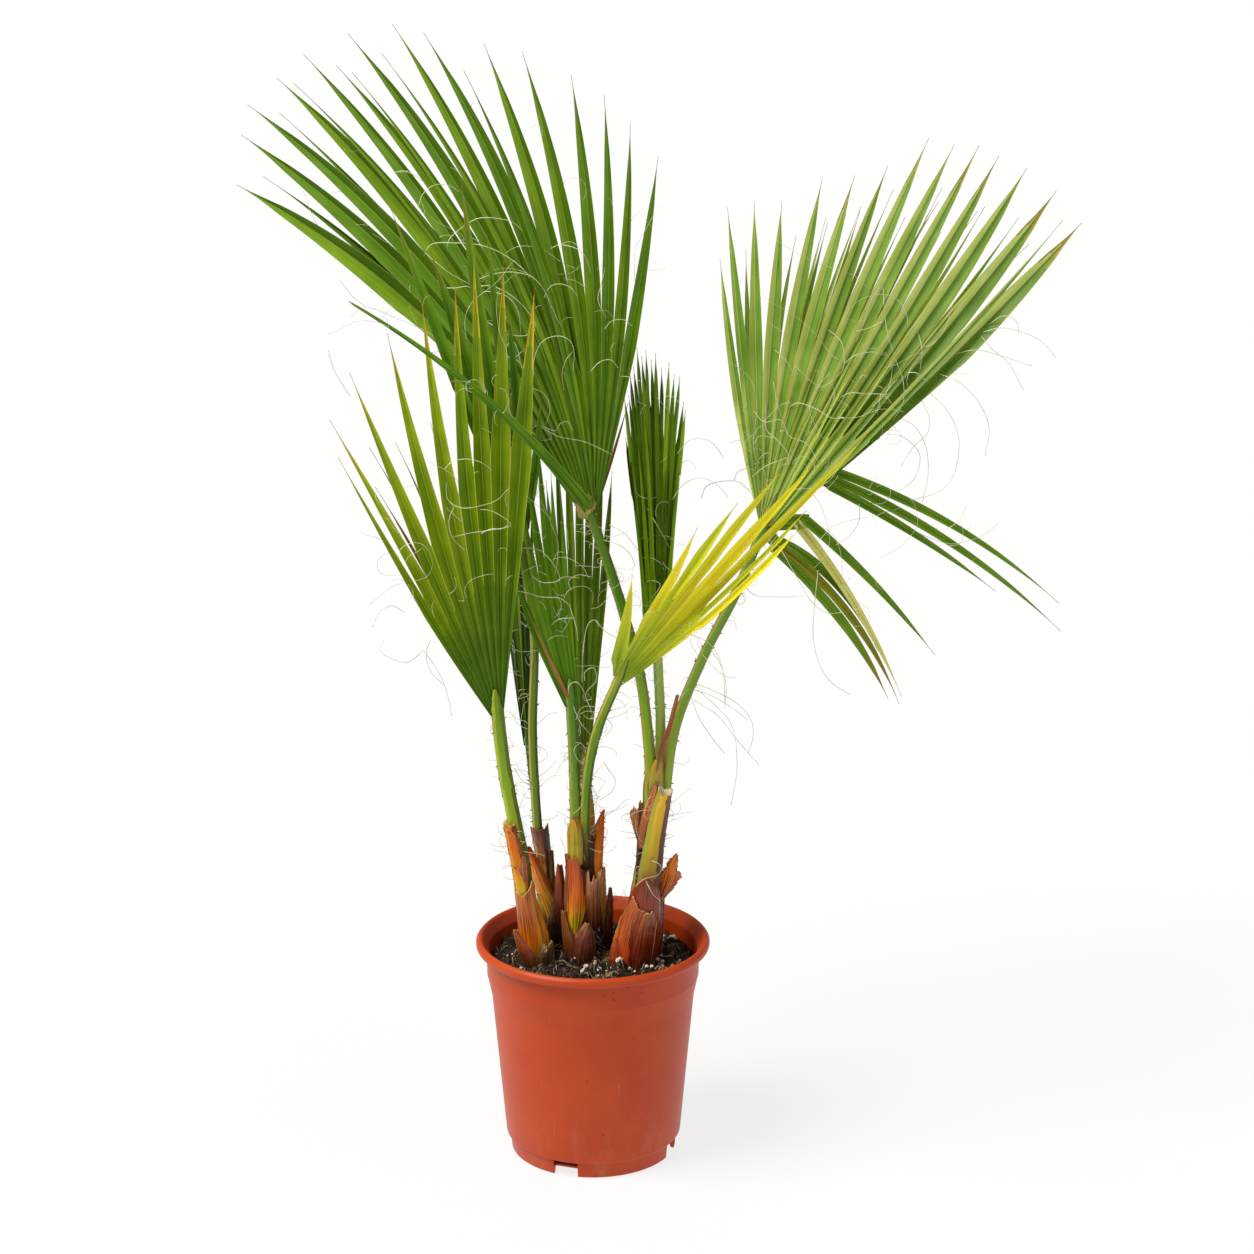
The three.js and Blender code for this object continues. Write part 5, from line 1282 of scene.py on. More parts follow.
# Rows from foot to top: height, left edge, right edge and how far forward the middle stands (y). The middle
# stands bulge in front of the edges, over an arc of wrap degrees to each side. The rim is the top edge's
# course: share across, and how much it stands up there. Tear roughens that edge in mm, ragged the two side
# edges as a share of the half width, and curl turns these outwards. The colours of left or right reach to
# sideAt across, and swing is how far the streaks push all colours up and down. Nodes of the source have
# its names; the others are smaller scales that are in the scene alone.
# Most husk ramps start dark at the foot: painted shade where the husks crowd each other and meet the soil,
# over their own dark red-brown.
sheaths = {
    "sheath_right_tip": {
        "rows": [
            (326, 50, 70, -8), (345, 51, 71, -9), (368, 51.5, 72, -9), (390, 52, 71.5, -8), (406, 54, 71, -7),
            (417, 58, 70.5, -6), (423, 62, 69.5, -5),
        ],
        "bulge": 8, "rim": [(-1, -3), (0, 0), (1, 0)], "edge": "#b98c58",
        "body": {0: "#aa7e18", 0.3: "#a5a11b", 0.6: "#99a41c", 0.85: "#b39824", 1: "#c49d2b"},
    },
    "sheath_right_flap": {
        "rows": [(334, 45, 51, -2), (350, 42, 50, -4), (364, 40, 50, -5), (374, 40.5, 49.5, -6)],
        "bulge": 5, "wrap": 60, "rim": [(-1, -8), (-0.5, -1), (0, -6), (0.5, 2), (1, 4)], "tear": 3,
        "curl": 3, "edge": "#c49a70", "body": {0: "#734322", 0.5: "#ae6831", 1: "#c38042"},
    },
    "sheath_right_torn": {
        "rows": [
            (262, 62, 70, -9), (272, 64, 73, -8), (282, 66, 81, -7), (292, 67, 88, -8), (300, 69, 89, -10),
            (309, 74, 86, -12), (318, 80, 86, -14), (323, 84, 86.5, -15),
        ],
        "bulge": 4, "wrap": 40, "thick": 1.6, "ragged": 0.3, "tear": 5, "edge": "#c69462",
        "body": {0: "#8e3c0e", 0.4: "#c75d17", 0.75: "#e87f20", 1: "#d8792a"},
    },
    "sheath_right_belly": {
        "rows": [
            (202, 36, 66, -20), (236, 36, 69, -23), (262, 36, 69.5, -25), (278, 38, 68.5, -25.5),
            (290, 43, 66, -25.5), (299, 50, 60, -25), (303, 53, 56, -24.5),
        ],
        "bulge": 13, "swing": 0.5, "edge": "#a86e48",
        "body": {0: "#5a1b09", 0.45: "#802a11", 0.7: "#953817", 0.9: "#803417", 1: "#934822"},
    },
    "sheath_right_foot": {
        "rows": [
            (202, 25, 56, -27), (216, 21, 58, -29), (236, 24, 59.5, -30), (257, 31, 59.5, -29),
            (271, 38, 60, -27.5),
        ],
        "bulge": 15, "rim": [(-1, -4), (-0.62, 13), (-0.4, 6), (0, -3), (0.4, -4), (0.7, 2), (1, -8)],
        "swing": 0.5, "edge": "#c69a66", "curl": 3, "thick": 2.6, "sideAt": -0.15,
        "body": {0: "#631a0c", 0.3: "#822712", 0.6: "#913314", 1: "#a74d1f"},
        "left": {0: "#912b11", 0.3: "#c24b1a", 0.6: "#ca6022", 1: "#b15526"},
    },
    "sheath_right_side": {
        "rows": [(202, 57, 70, -10), (240, 60, 71.5, -12), (262, 61, 72, -12), (272, 62, 72, -11)],
        "bulge": 7, "rim": [(-1, -6), (-0.4, 1), (0.3, -3), (1, 2)], "tear": 4, "edge": "#a8743c",
        "body": {0: "#1b0802", 0.3: "#401904", 0.65: "#6a3705", 1: "#603307"},
    },
    "sheath_left_upper": {
        "rows": [
            (202, -72, -47, -20), (220, -74.5, -45.5, -21), (238, -75.5, -46.5, -22), (262, -77, -53.5, -22),
            (276, -78.5, -58.5, -21.5), (284, -79, -59.5, -21),
        ],
        "bulge": 12, "rim": [(-1, 5), (-0.75, 0), (-0.1, -2), (0.35, 3), (0.78, 15), (0.92, 6), (1, -3)],
        "swing": 0.8, "edge": "#d8ac6c", "sideAt": 0.25, "thick": 2.6,
        "body": {0: "#5a2907", 0.2: "#c0660f", 0.45: "#d76d0e", 0.8: "#b75a14", 1: "#c0691e"},
        "right": {0: "#7a450a", 0.15: "#dc921a", 0.45: "#ed9117", 0.8: "#c97217", 1: "#c97827"},
    },
    "sheath_left_foot": {
        "rows": [(201, -60, -40, -25), (212, -60, -40, -26), (222, -55, -41.5, -26), (228, -49, -42, -25)],
        "bulge": 8, "rim": [(-1, 0), (0, -3), (0.5, 4), (1, 3)], "tear": 4, "edge": "#c8a878",
        "body": {0: "#21160a", 0.5: "#4a3114", 0.9: "#644924", 1: "#836938"},
    },
    "sheath_left_side": {
        "rows": [
            (201, -66, -55, -25), (212, -71, -56, -25), (224, -75.5, -60, -23), (234, -78, -69, -19),
            (241, -79.5, -76.5, -15),
        ],
        "bulge": 6, "tear": 2, "curl": 2.4, "edge": "#b98a5c",
        "body": {0: "#421b09", 0.5: "#7e3712", 1: "#9b5222"},
    },
    "sheath_left_mid_point": {
        "rows": [
            (214, -43, -27, 21), (236, -47, -31, 20), (254, -51, -35, 19), (270, -57, -41, 19),
            (289, -63, -49.5, 19), (306, -66.5, -59, 20), (318, -68.5, -67, 21),
        ],
        "bulge": 8, "swing": 0.5, "edge": "#6e3820", "curl": 2.4, "sideAt": 0.45,
        "body": {0: "#ae6e2c", 0.25: "#ffb249", 0.45: "#ffb22c", 0.75: "#ff901c", 1: "#ef6316"},
        "right": {0: "#7c491c", 0.4: "#e0661d", 1: "#b43e10"},
    },
    "sheath_left_mid_foot": {
        "rows": [(201, -46, -25, 15), (225, -47, -27, 15), (246, -45, -30, 16), (258, -42, -33, 17)],
        "bulge": 8, "rim": [(-1, 0), (-0.3, 5), (0.1, -8), (0.5, 4), (1, -6)], "tear": 8, "ragged": 0.14,
        "edge": "#b09878", "body": {0: "#211207", 0.6: "#422711", 1: "#734a22"},
    },
    "sheath_middle_front": {
        "rows": [
            (222, -23, -16, -4), (236, -26.5, -12, -5), (252, -28, -9, -6), (268, -28.5, -7.5, -6),
            (288, -27.5, -7.5, -5), (305, -26.5, -8.5, -4), (315, -27.5, -9.5, -3),
        ],
        "bulge": 11, "rim": [
            (-1, 2), (-0.8, 5), (-0.62, -2), (-0.3, 1), (0.15, 2), (0.38, 0), (0.55, -9), (0.75, -20),
            (1, -32),
        ],
        "swing": 0.4, "edge": "#b57c48", "sideAt": -0.6, "thick": 3,
        "body": {
            0: "#c6be13", 0.2: "#c2b911", 0.36: "#eda10e", 0.52: "#e97106", 0.8: "#c65206",
            1: "#b14e08",
        },
        "left": {0: "#855f09", 0.3: "#ac5f09", 1: "#983d06"},
    },
    "sheath_middle_left": {
        "rows": [
            (232, -34, -25, 9), (250, -36.5, -26, 7), (270, -38, -28.5, 7), (288, -37, -31, 8),
            (303, -34.6, -33.6, 10),
        ],
        "bulge": 6, "edge": "#8a4a2c", "curl": 2,
        "body": {0: "#421708", 0.4: "#85310f", 0.8: "#b64e1d", 1: "#963f16"},
    },
    "sheath_middle_right": {
        "rows": [(236, -7, 6, 2), (256, -8, 6, 0), (276, -9, 6, -1), (290, -9, 6, -1), (299, -8, 6, 0)],
        "bulge": 6, "rim": [(-1, 3), (-0.7, -4), (-0.35, 1), (-0.1, -12), (0.3, -4), (0.7, -9), (1, 3)],
        "tear": 4, "curl": 3, "edge": "#d8b488", "thick": 1.6,
        "body": {0: "#4b1d0c", 0.4: "#8c4b25", 0.75: "#b37046", 1: "#cb885c"},
    },
    "sheath_middle_foot": {
        "rows": [
            (201, -22, -1, -16), (212, -25, 2, -17), (226, -21, 1.5, -16), (237, -14, -0.5, -14),
            (246, -7, -4, -11),
        ],
        "bulge": 10, "swing": 0.6, "edge": "#b98455", "thick": 3,
        "body": {0: "#3f1b13", 0.4: "#5a291e", 0.75: "#7e412c", 1: "#9e6643"},
    },
    # A thin scale on the left sheath; its pale pink is a painted highlight, a sheen on the husk.
    "leftScale": {
        "rows": [(298, -71, -66, -17.5), (308, -75, -67, -18), (316, -73, -68, -18), (323, -70, -69, -18)],
        "bulge": 2, "thick": 0.8, "edge": "#c8845c", "body": {0: "#a4562a", 1: "#b8643c"},
    },
    "leftMidSpike": {
        "rows": [
            (256, -45, -37, 25), (282, -44.5, -39.5, 25), (300, -43.5, -41, 26), (313, -42.4, -41.8, 27),
        ],
        "bulge": 3, "thick": 1.4, "edge": "#8a7038",
        "body": {0: "#513316", 0.6: "#85621c", 1: "#784e22"},
    },
    "middleFootLeft": {
        "rows": [
            (201, -26, -10, -12), (214, -28, -12, -13), (228, -29.5, -17, -12), (243, -30.5, -23.5, -9),
            (258, -31, -28.5, -5),
        ],
        "bulge": 7, "curl": 2, "edge": "#b98c5c",
        "body": {0: "#331508", 0.4: "#733b14", 0.8: "#a35e1f", 1: "#965825"},
    },
    "middleOuter": {
        "rows": [
            (226, 8, 18, 13), (248, 6, 15.5, 12), (270, 4, 13, 12), (286, 5, 12, 13), (299, 8.5, 11.5, 14),
        ],
        "bulge": 5, "ragged": 0.2, "tear": 3, "edge": "#7a5228", "thick": 1.6,
        "body": {0: "#7e3a15", 0.5: "#bf872f", 1: "#e79c3e"},
    },
    "middleSpike": {
        "rows": [(220, 11, 20, 11), (244, 13, 20, 10), (262, 15, 19.5, 11), (278, 17.4, 18.2, 12)],
        "bulge": 4, "edge": "#8a5034", "thick": 1.4, "body": {0: "#331107", 1: "#733116"},
    },
    "greenArch": {
        "rows": [
            (306, -24.6, -10.6, 2), (328, -25, -10.4, 1), (342, -24.4, -11.4, 1), (350, -22.8, -13.6, 2),
            (355.5, -20, -17.4, 3),
        ],
        "bulge": 6, "edge": "#a87c4c", "thick": 1.2,
        "body": {0: "#c7b314", 0.5: "#ad9c12", 0.85: "#c09418", 1: "#d3881a"},
    },
    "middleHusk": {
        "rows": [(236, -10, 6, 14), (280, -11, 3, 14), (310, -10, 2, 15), (330, -9, 0, 17)],
        "bulge": 4, "rim": [(-1, 0), (-0.3, 5), (0.2, -6), (0.6, 3), (1, -4)], "tear": 8, "thick": 1.2,
        "edge": "#5a3a24", "body": {0: "#210f05", 0.6: "#391b0b", 1: "#512911"},
    },
    "rightWedge": {
        "rows": [
            (330, 46, 56, -13), (346, 47.5, 58, -14), (362, 50, 62, -15), (380, 55, 66, -15),
            (392, 60, 67, -14.5), (399, 63.5, 65.5, -14),
        ],
        "bulge": 5, "edge": "#b9845c", "thick": 1.6,
        "body": {0: "#965028", 0.5: "#b6622b", 1: "#bf7438"},
    },
    "rightColumn": {
        "rows": [(272, 42, 51, -6), (300, 44.5, 51, -7), (322, 45.5, 51, -7), (342, 47, 50.5, -6)],
        "bulge": 4, "edge": "#6e4c34", "thick": 1.4, "tear": 3,
        "body": {0: "#391c07", 0.5: "#47240b", 1: "#391a07"},
    },
    "rightSlit": {
        "rows": [
            (404, 62.4, 66.3, -6), (422, 65, 69, -6), (440, 69.6, 73, -5), (455, 76, 78.6, -4),
            (472, 81, 82.8, -2), (488, 85.4, 86, 1),
        ],
        "bulge": 3, "edge": "#c08048", "thick": 1.2, "tear": 1,
        "body": {0: "#a08a34", 0.3: "#8f5424", 0.7: "#a8602c", 1: "#b47a3f"},
    },
    "rightPanel": {
        "rows": [
            (202, 38, 56, -31), (220, 39, 59.5, -33), (238, 41.5, 60.5, -33.5), (254, 46, 61.5, -32.5),
            (266, 50, 62.5, -30),
        ],
        "bulge": 9, "rim": [(-1, -12), (-0.6, -3), (-0.2, 2), (0.3, -1), (0.55, 3), (0.8, -5), (1, -12)],
        "curl": 4, "edge": "#d8b080", "swing": 0.6,
        "body": {0: "#491606", 0.4: "#6e240c", 0.75: "#8b3a15", 1: "#9f6026"},
    },
    "leftMidSleeve": {
        "rows": [(268, -57, -41.5, 25), (290, -57, -43, 25), (315, -60, -45, 24), (337, -63, -47.5, 23.5)],
        "bulge": 9, "rim": [(-1, 1), (0.3, 0), (0.75, 1), (1, 5)], "sideAt": 0.3, "edge": "#935933",
        "body": {0: "#5a3a16", 0.3: "#c0a830", 0.5: "#a66e2c", 0.8: "#934d2c", 1: "#6d3324"},
        "right": {0: "#392312", 0.4: "#5f361d", 1: "#5a2a23"},
    },
    "hastulaTopLeft": {
        "rows": [(676, -12, 1, -22), (686, -14, 3, -25), (694, -15, 4, -26), (699, -14, 3.5, -27)],
        "bulge": 5, "rim": [(-1, -7), (-0.5, 0), (-0.1, -4), (0.3, 3), (0.7, -3), (1, -9)], "tear": 3,
        "thick": 0.8, "edge": "#d8b884", "body": {0: "#8a8a3c", 0.5: "#b89454", 1: "#caa66a"},
    },
    "hastulaBackLeft": {
        "rows": [(650, -75.5, -65, 2), (657, -77, -63.5, 0), (664, -76, -65, -1)],
        "bulge": 4, "rim": [(-1, -6), (-0.3, 2), (0.2, -3), (1, -5)], "tear": 3, "thick": 0.8,
        "edge": "#e0dcb8", "body": {0: "#a8b46c", 1: "#c8cc98"},
    },
    "rightFootFlap": {
        "rows": [(202, 20, 30, -26), (214, 18, 31, -27), (226, 20, 28.5, -26), (236, 23, 24.5, -24)],
        "bulge": 4, "edge": "#b06a44", "curl": 2, "body": {0: "#671f0c", 0.6: "#ae431d", 1: "#c85825"},
    },
}
# Dark and pale fibres in the husks: lengths across and along in mm, drawn coarser than real.
huskFibres = [
    {
        "scale": (1 / (1.1 * mm), 1 / (45 * mm), 1), "shift": (3, 1, 0),
        "mask": {0.50: "#000000", 0.62: "#e8e8e8"}, "colour": "#1c0a04",
    },
    {
        "scale": (1 / (0.8 * mm), 1 / (28 * mm), 1), "shift": (9, 4, 0),
        "mask": {0.62: "#000000", 0.70: "#b4b4b4"}, "colour": "#d8a468",
    },
]


def sheathGrid(shape, seed):
    # A row's points stand on an arc: x = middle + half width sin(a) / sin(wrap), y = front + bulge
    # (1 - cos(a)) / (1 - cos(wrap)). The rows are a spline through the table's, and each column rises to
    # its own place on the rim. On top of that: ragged margins, curled edges, ribs and dents.
    rows, columns = sheathDetail["rows"], sheathDetail["columns"]
    rng = np.random.default_rng(seed)
    path = smoothPath(shape["rows"], rows - 1)
    rise = np.linspace(0, 1, rows)[:, None]
    s = np.linspace(-1, 1, columns)[None]
    ragged = shape.get("ragged", 0.05)
    torn = [ragged * ripple(rows, seed + side, (4, 11, 23), 0.75)[:, None] for side in (1, 2)]
    wide = s * (1 + np.where(s < 0, torn[0], torn[1]) * np.abs(s) ** 2)
    wrap = np.radians(shape.get("wrap", 76))
    turn = wide * wrap
    ribs = sum(0.2 * 0.8**i * np.sin(n * s + rng.uniform(0, 6)) for i, n in enumerate((9, 15, 26)))
    dents = 0.6 * ripple(rows, seed + 5, (1, 3, 6))[:, None] * np.cos(2 * s + seed)
    curl = shape.get("curl", 1.4) * np.abs(s) ** 5 * rise**0.5
    proud = ribs + dents * np.sin(np.pi * rise) + curl
    thick = shape.get("thick", 2.2) * (1 - 0.75 * np.minimum(np.abs(s), 1) ** 3) * (1 - 0.5 * rise**4)
    rimPlaces, rimHeights = zip(*shape.get("rim", [(-1, 0), (1, 0)]))
    rim = np.interp(s, rimPlaces, rimHeights)
    rim = np.convolve(np.pad(rim[0], 2, "edge"), np.full(5, 0.2), "valid")[None]
    tear = shape.get("tear", 1.2) * ripple(columns, seed + 9, (3, 8, 17), 0.8)
    height, left, right, front = (path[:, i : i + 1] for i in range(4))
    height = height + (rim + tear) * rise**3
    sheets = []
    for reach in (proud, proud - thick):
        x = (left + right) / 2 + (right - left) / 2 * np.sin(turn) / np.sin(wrap) + reach * np.sin(turn)
        y = front + shape["bulge"] * (1 - np.cos(turn)) / (1 - np.cos(wrap)) - reach * np.cos(turn)
        sheets.append(np.stack(np.broadcast_arrays(x, y, height), axis=-1))
    return sheets


def makeSheaths():
    # Returns the outer grid of each sheath, for the fibres torn from its edges.
    grids = []
    for seed, (node, shape) in enumerate(sheaths.items()):
        outer, inner = sheathGrid(shape, 10 * seed)
        grids.append(outer)
        rows, columns = outer.shape[:2]
        look = np.zeros((1, rows - 1, columns - 1), int)
        boundary = shape.get("sideAt", 0) + 0.1 * ripple(rows - 1, seed + 30, (2, 5, 11))
        across = np.linspace(-1, 1, columns - 1)[None]
        if "left" in shape:
            look[0, across < boundary[:, None]] = 2
        if "right" in shape:
            look[0, across > boundary[:, None]] = 2
        edge = max(1, int((1 - sheathDetail["rimFrom"]) * columns / 2))
        look[:, :, :edge] = look[:, :, -edge:] = look[:, int(sheathDetail["rimTop"] * rows):] = 1
        name = pieceName(node)
        low, high = shape["rows"][0][0], shape["rows"][-1][0]
        swing = shape.get("swing", 0.35)
        side = shape.get("left", shape.get("right", shape["body"]))
        looks = [
            gradedLook(name + "Husk", low, high, shape["body"], 0.33, (2.2, 70), swing, 0.35, huskFibres),
            streakyLook(name + "Edge", shape["edge"], darker(shape["edge"], 0.7), (1.2, 9), 0.7, 0.3),
            gradedLook(name + "HuskSide", low, high, side, 0.4, (2.2, 70), swing, 0.35, huskFibres),
        ]
        u = np.linspace(-1, 1, columns) * np.ptp(outer[..., 0]) / 2 + 80 * seed
        uv = np.stack(np.broadcast_arrays(u[None], outer[..., 2]), axis=-1)[None] * mm
        nodes = [node] if node.startswith("sheath") else []
        makePiece(name, [plates(outer[None], inner[None], look, uv)], looks, nodes)
    return grids


sheathEdges = makeSheaths()
print("sheaths:", len(sheaths))


# Threads, hairs and spines. Real palm threads are a quarter of a millimetre thick; these are drawn coarser,
# so that they hold together in a picture.

# Each kind of strand: how much it curls, its steps, its lift off the surface, and its radius at both ends.
strands = {
    "long": {"curl": 2.8, "steps": 32, "lift": 7, "radii": (0.3, 0.18)},
    "short": {"curl": 2.0, "steps": 9, "lift": 2, "radii": (0.3, 0.15)},
    "hair": {"curl": 2.6, "steps": 14, "lift": 3, "radii": (0.32, 0.2)},
    "fibre": {"curl": 1.8, "steps": 12, "lift": 2, "radii": (0.28, 0.112)},
}
threadSeed = 40
shortThread = (6, 24)
# For each leaf: how many long and short threads it has, between which shares of its reach they start, and
# the long ones' least and greatest length.
threadCounts = {
    "leaf_top_left": (6, 30, (0.36, 0.86), (40, 150)),
    "leaf_top_left_edge": (3, 6, (0.3, 0.9), (30, 90)),
    "leaf_front_left": (5, 20, (0.3, 0.8), (30, 110)),
    "leaf_middle": (7, 20, (0.3, 0.9), (30, 100)),
    "leaf_middle_back": (4, 8, (0.1, 0.6), (25, 80)),
    "leaf_narrow_left": (4, 16, (0.1, 0.7), (20, 60)),
    "leaf_back_left": (4, 10, (0.1, 0.8), (30, 110)),
    "leaf_right": (20, 44, (0.08, 0.62), (30, 130)),
    "leaf_right_droop": (4, 6, (0.1, 0.6), (40, 120)),
    "leaf_right_hang": (3, 6, (0.05, 0.6), (40, 140)),
    "leaf_yellow": (2, 14, (0.2, 0.9), (20, 70)),
    "leaf_spear": (5, 12, (0.05, 0.95), (25, 100)),
}


def wandering(rng, kind, starts, headings, lengths):
    # Curling strands across the view: the heading turns steadily by curl times a random share, with two waves
    # on top. In depth the strand lifts off towards the viewer and swings to and fro.
    curl, steps, lift, radii = (strands[kind][key] for key in ("curl", "steps", "lift", "radii"))
    t = np.linspace(0, 1, steps)
    draw = rng.uniform(0, 1, (6, len(starts), 1))
    turning = rng.normal(0, 0.8, (len(starts), 1)) * t
    turning += 0.12 * np.sin(2 * np.pi * ((0.5 + 0.6 * draw[0]) * t + draw[1]))
    turning += 0.03 * np.sin(2 * np.pi * ((1.5 + 1.5 * draw[2]) * t + draw[3]))
    heading = np.asarray(headings)[:, None] + curl * (turning - turning[:, :1])
    stride = (np.asarray(lengths) / (steps - 1))[:, None]
    move = np.stack([np.cos(heading), np.zeros_like(heading), np.sin(heading)], axis=-1) * stride[..., None]
    paths = np.asarray(starts)[:, None] + np.cumsum(move, axis=1) - move[:, :1]
    swing = np.sin(2 * np.pi * (draw[4] * t)) * (draw[5] - 0.3)
    paths[..., 1] -= lift * (1 - np.exp(-6 * t)) * (0.4 + 0.6 * draw[0]) + lift * 1.5 * swing * t
    return tubes(paths, np.linspace(*radii, steps))


def mostlyShort(rng, span, count, power):
    # Random lengths within a span, the short ones more often: low + (high - low) random^power.
    return span[0] + (span[1] - span[0]) * rng.random(count) ** power


